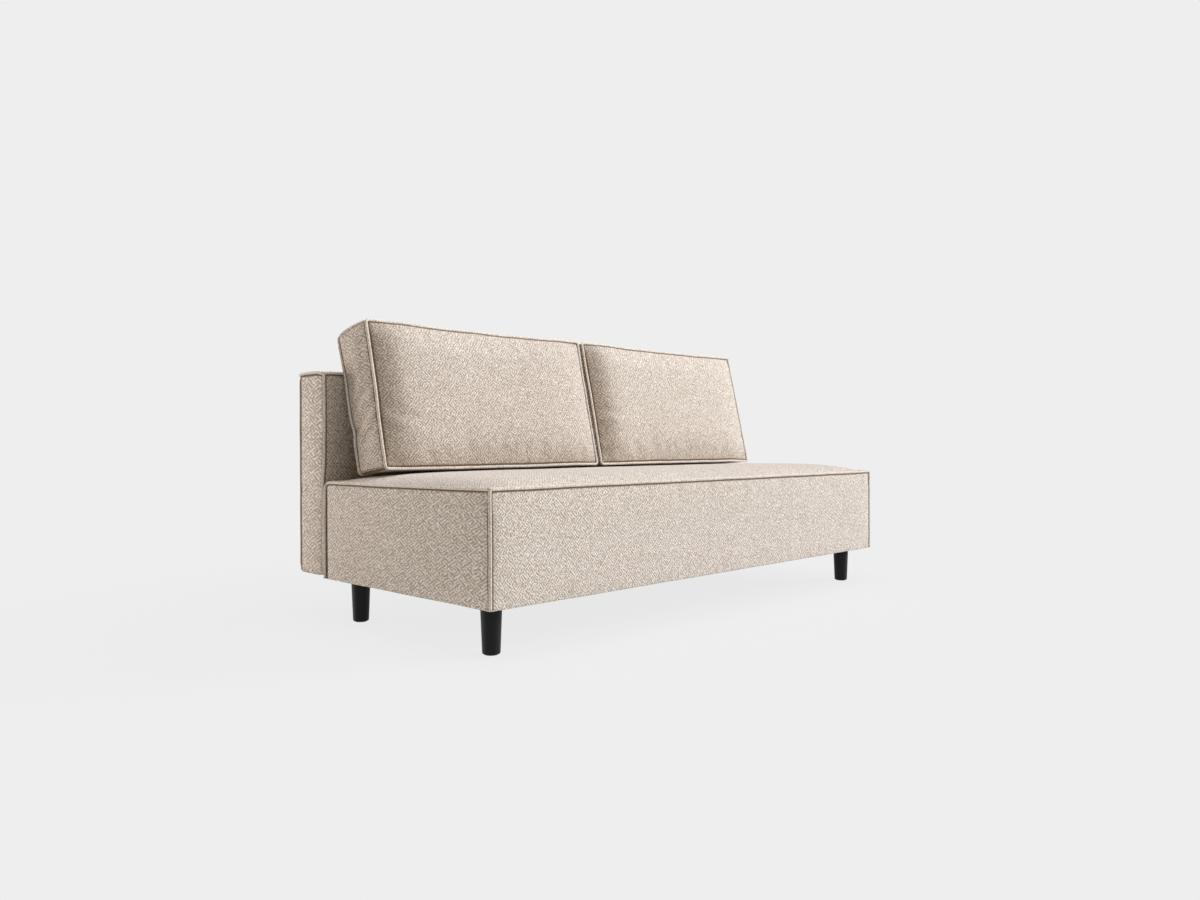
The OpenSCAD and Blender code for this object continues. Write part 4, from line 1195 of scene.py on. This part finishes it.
# %% [markdown]
# ## Filling the cushions
#
# Loose fibre blows a cushion out more than foam does a seat, so there is more pressure and
# more cloth. The foot, the seams and the place that leans on the backrest stay where they are.
# Then the pipings are laid round the front and the rear edge.


# %% Filling the cushions
def cushion_painted_shade(side):
    """Painted shade on the bands, and on the front most beside the piping at the left and towards
    the foot.
    """
    def shade_paint(share, size):
        if abs(share.x) > RIM and abs(share.y) < RIM:
            return 0.385
        if share.y > -RIM or share.z > RIM:
            return 0
        left, foot = ((s + 0.5) * length for s, length in zip((share.x, share.z), (size.x, size.z)))
        all_over, beside = (0.31, 0.72) if side < 0 else (0.18, 0.95)
        return all_over + beside * near(left, 0.075) + 0.22 * near(foot, 0.06)
    return shade_paint


def cushion_caps(side, shares):
    """How far each point may blow out: least on the band between the two cushions."""
    def cap(index):
        share = shares[index]
        gap = cushion_seam_gap(share, CUSHION_SIZE)
        if abs(share.y) < RIM:
            inner = 0 in faces_of(share) and side * share.x < 0
            return (1.2 if inner else 3.2 - 2.4 * share.y) * MM * rise(gap, 20 * MM)
        if share.y < 0:
            return 4 * MM * rise(gap, 45 * MM)
        return 4 * MM * rise(gap, 30 * MM) * (pressed(share.z + 0.5) ** 2)
    return cap


def proud(side, a, b, y_share):
    """The rear piping stands out at a cushion's outer side, but not round its top corner."""
    if y_share < 0:
        return Vector()
    outer = max(0, 2 * side * a)
    corner = (outer * max(0, 2 * b)) ** 20
    stand = 3 * MM * (1 - abs(2 * b) ** 8) * (0.65 - 0.7 * b) if outer > 0.998 else 0
    return Vector((side * (stand - 3.5 * MM * corner), 0, -2.5 * MM * corner))


for side, name in SIDES:
    place = cushion_place(side)
    cushion, shares = sewn_body(
        f"{name}_cushion_body", CUSHION_LINES, CUSHION_SIZE, place, cushion_seam_gap,
        cushion_painted_shade(side), CUSHION_WEAVE[side])
    pinned = [i for i, s in enumerate(shares)
              if s.z < -RIM or (1 in faces_of(s) and len(faces_of(s)) > 1)]
    moved = fill_with_air(cushion, pinned, 4, 0.018, cushion_caps(side, shares))
    finish_body(cushion, f"{name}_cushion", [f"{name}_cushion_{part}" for part in (
        "fill", "front_panel", "back_panel", "boxing", "base_panels")])
    for y_share, edge in ((-0.5, "front"), (0.5, "back")):
        ring = [place(Vector((a, y_share, b))) + proud(side, a, b, y_share)
                for a, b in around(CUSHION_LINES[::2])]
        make_piping(f"{name}_cushion_{edge}_edge_piping", ring, True, f"{name}_cushion",
                    [f"{name}_cushion_{edge}_piping"])
    print(name, "cushion faces", len(cushion.data.polygons), "moved", round(moved, 4))

# %% [markdown]
# ## The zips
#
# A zip is two woven tapes with a row of teeth on each. A picture of a zip on a strip would
# look the same from afar, but the slider has to run along real teeth. They are all alike, so
# one small block is copied along both tapes, the rows half a step apart so that they mesh.

# %% The zips
TAPE_LOW, TAPE_T = 0.5 * MM, 0.8 * MM
TAPE_INNER, TAPE_OUTER = 1.3 * MM, 9 * MM
TOOTH_STEP, TOOTH_HALF = 3.2 * MM, 1.1 * MM
TOOTH_INNER, TOOTH_OUTER, TOOTH_DEEP = 1.1 * MM, 3.2 * MM, 1.6 * MM
STOP_HALF = 3 * MM


def base_frame(side):
    """Turns places along a cushion's base, from the middle of its zip, into places here."""
    return (Matrix.Translation(Vector((side * CUSHION_X, FOOT.y, FOOT.z)))
            @ Matrix.Rotation(-FOOT_SLOPE, 4, "X") @ Matrix.Translation((0, -ZIP_IN, 0)))


def add_block(bm, low, high, bevel=0.0):
    """Adds a box between two corners, with its edges rounded by the bevel."""
    low, high = Vector(low), Vector(high)
    made = bmesh.ops.create_cube(bm, size=1, matrix=Matrix.Translation((low + high) / 2)
                                 @ Matrix.Diagonal((*(high - low), 1)))["verts"]
    if bevel:
        edges = dict.fromkeys(e for v in made for e in v.link_edges)
        bmesh.ops.bevel(bm, geom=list(edges), offset=bevel, segments=2, profile=0.5,
                        affect="EDGES", material=-1)


def make_flat_piece(name, bm, finish, body, node_name):
    """A piece with flat faces that rides on a body and takes the place of one node."""
    piece = make_piece(name, bm, finish)
    for polygon in piece.data.polygons:
        polygon.use_smooth = False
    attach(piece, body)
    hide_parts(node_name)


def make_zip(side, name):
    """Both tapes with their teeth, and a stop at each end of the rows."""
    tapes, teeth = bmesh.new(), bmesh.new()
    count = int(2 * (ZIP_HALF - 3 * MM) / TOOTH_STEP)
    for edge in (-1, 1):
        y_low, y_high = sorted((edge * TAPE_INNER, edge * TAPE_OUTER))
        add_block(tapes, (-ZIP_HALF, y_low, TAPE_LOW), (ZIP_HALF, y_high, TAPE_LOW + TAPE_T))
        shift = 0.5 if edge > 0 else 0
        y_low, y_high = sorted((edge * TOOTH_INNER, edge * TOOTH_OUTER))
        for k in range(count):
            x = (k + shift - count / 2) * TOOTH_STEP
            add_block(teeth, (x - TOOTH_HALF, y_low, TAPE_LOW - TOOTH_DEEP),
                      (x + TOOTH_HALF, y_high, TAPE_LOW - 0.05 * MM))
    for end in (-1, 1):
        x_low, x_high = sorted((end * (ZIP_HALF - TOOTH_HALF), end * ZIP_HALF))
        add_block(teeth, (x_low, -STOP_HALF, TAPE_LOW - TOOTH_DEEP), (x_high, STOP_HALF, TAPE_LOW))
    for bm, part, finish in ((tapes, "tapes", tape_weave), (teeth, "teeth", black_plastic)):
        bm.transform(base_frame(side))
        make_flat_piece(f"{name}_zip_{part}", bm, finish, f"{name}_cushion",
                        f"{name}_cushion_zip")
    return count


print("a tape is", round(2 * ZIP_HALF / MM), "mm long")

# %% [markdown]
# ## The zip sliders
#
# A slider is two plates with a post between them, so that the tapes run through it. A bail on
# its outer plate holds the pull. It is cast in one piece, and one plain block would be too
# coarse close up, so it is built from a few rounded blocks in one mesh.

# %% The zip sliders
SLIDER_END, SLIDER_LONG, SLIDER_HALF = 380.7 * MM, 12 * MM, 4.5 * MM
PLATE_T, PLATE_BEVEL = 1 * MM, 0.35 * MM
PLATES_LOW, PLATES_HIGH = TAPE_LOW - 1.85 * MM, TAPE_LOW + 1.05 * MM
BAIL_LOW = PLATES_LOW - 2 * MM
PULL_LONG, PULL_HALF, PULL_T = 30 * MM, 2.25 * MM, 0.9 * MM


def make_slider(side, name):
    """Two plates, the post between them, the bail over the lower plate, and the pull."""
    bm = bmesh.new()
    start = SLIDER_END - SLIDER_LONG
    for bottom in (PLATES_LOW - PLATE_T, PLATES_HIGH):
        add_block(bm, (start, -SLIDER_HALF, bottom), (SLIDER_END, SLIDER_HALF, bottom + PLATE_T),
                  PLATE_BEVEL)
    add_block(bm, (start, -0.8 * MM, PLATES_LOW - 0.1 * MM),
              (SLIDER_END, 0.8 * MM, PLATES_HIGH + 0.1 * MM))
    add_block(bm, (SLIDER_END - 9 * MM, -1.1 * MM, BAIL_LOW),
              (SLIDER_END - 3 * MM, 1.1 * MM, PLATES_LOW - 0.9 * MM), 0.3 * MM)
    for edge in (-1, 1):
        y_low, y_high = sorted((edge * 1.3 * MM, edge * PULL_HALF))
        add_block(bm, (SLIDER_END - PULL_LONG, y_low, BAIL_LOW),
                  (SLIDER_END - 6 * MM, y_high, BAIL_LOW + PULL_T), 0.2 * MM)
    add_block(bm, (SLIDER_END - PULL_LONG, -PULL_HALF, BAIL_LOW),
              (SLIDER_END - 14 * MM, PULL_HALF, BAIL_LOW + PULL_T), 0.3 * MM)
    bm.transform(base_frame(side) @ Matrix.Diagonal((side, 1, 1, 1)))
    make_flat_piece(f"{name}_slider", bm, slider_metal, f"{name}_slider",
                    f"{name}_zip_slider")


for side, name in SIDES:
    print(name, "zip teeth on one tape:", make_zip(side, name))
    make_slider(side, name)

# %% [markdown]
# ## Floor and surroundings
#
# The photograph has a plain pale ground with hardly any shadow. The floor and the world show
# the camera that plain grey themselves, and the floor mixes in a share of its real light, so
# a faint shadow is left. More light could make them as pale, but it would bleach the cloth.

# %% Floor and surroundings
GROUND = (0.855, 0.855, 0.855, 1)
FLOOR_OWN = 0.93
AMBIENT = 0.262
AMBIENT_COLOUR = (1.0, 0.875, 0.71, 1)
PLAIN_FROM, PLAIN_TO = 1.3, 2.6
SHOWN_RAYS = ("Is Camera Ray", "Is Glossy Ray", "Is Transmission Ray")


def shown(net):
    """1 for rays that come from the camera or by way of a mirror or glass."""
    return sum(net.node("ShaderNodeLightPath", out=ray) for ray in SHOWN_RAYS)


def make_floor():
    """A wide plane that shows plain grey, with a faint share of its own light near the sofa."""
    floor = Finish("floor", Roughness=0.9, Specular_IOR_Level=0.0)
    at = floor.place()
    floor.set(Base_Color=floor.blend(floor.grain(at, 3, 2, 0.5), (0.80, 0.80, 0.80, 1),
                                     (0.82, 0.82, 0.82, 1)))
    glow = floor.node("ShaderNodeEmission", {}, {"Color": GROUND, "Strength": 1.0})
    away = floor.node("ShaderNodeVectorMath", {"operation": "LENGTH"}, {0: at}, "Value")
    plain = floor.spread(away, PLAIN_FROM, PLAIN_TO, FLOOR_OWN, 1.0)
    mixed = floor.node("ShaderNodeMixShader", {}, {
        0: shown(floor) * plain, 1: Wire(floor, floor.shader.outputs[0]), 2: glow})
    floor.join(floor.output.inputs["Surface"], mixed)
    bm = bmesh.new()
    bmesh.ops.create_grid(bm, x_segments=1, y_segments=1, size=40)
    mesh = bpy.data.meshes.new("floor")
    bm.to_mesh(mesh)
    bm.free()
    mesh.materials.append(floor.material)
    made = bpy.data.objects.new("floor", mesh)
    bpy.context.scene.collection.objects.link(made)


def make_world():
    """Warm dim light from all round, where the camera itself sees the plain grey."""
    world = bpy.data.worlds.new("world")
    bpy.context.scene.world = world
    world.use_nodes = True
    sky = Net(world.node_tree)
    light = sky.node("ShaderNodeBackground", {}, {"Color": AMBIENT_COLOUR, "Strength": AMBIENT})
    ground = sky.node("ShaderNodeBackground", {}, {"Color": GROUND})
    mixed = sky.node("ShaderNodeMixShader", {}, {0: shown(sky), 1: light, 2: ground})
    sky.node("ShaderNodeOutputWorld", {}, {"Surface": mixed})


make_floor()
make_world()
print("the ground shows as", GROUND[:3])

# %% [markdown]
# ## Lamps
#
# A studio has few and large lamps, because a large lamp makes soft shading. A sky picture
# could light the sofa too, but three discs are easier to place. The largest stands at the
# front right, and two small ones lift the left end and the seat's top.

# %% Lamps
LAMPS = [
    ("key", (11.5, -7.7, 5.5), (0, 0, 0.4), 6.4, 2350, (0.967, 0.987, 1.045)),
    ("fill", (-2.8, 3.4, 0.7), (-0.95, 0.2, 0.4), 2.0, 95, (1.0, 0.955, 0.95)),
    ("top", (-0.5, -0.6, 3.7), (-0.5, -0.4, 0), 3.0, 70, (0.945, 0.985, 1.08)),
]


def make_lamp(name, place, target, size, power, colour):
    """A round lamp that faces its target."""
    data = bpy.data.lights.new(name, "AREA")
    data.shape = "DISK"
    data.size = size
    data.energy = power
    data.color = colour
    lamp = bpy.data.objects.new(name, data)
    lamp.location = place
    lamp.rotation_mode = "QUATERNION"
    lamp.rotation_quaternion = (Vector(target) - Vector(place)).to_track_quat("-Z", "Y")
    bpy.context.scene.collection.objects.link(lamp)


for lamp in LAMPS:
    make_lamp(*lamp)
bpy.context.scene.view_settings.view_transform = "Standard"
print("lamps", [lamp[0] for lamp in LAMPS])

# %% [markdown]
# ## The finished sofa
#
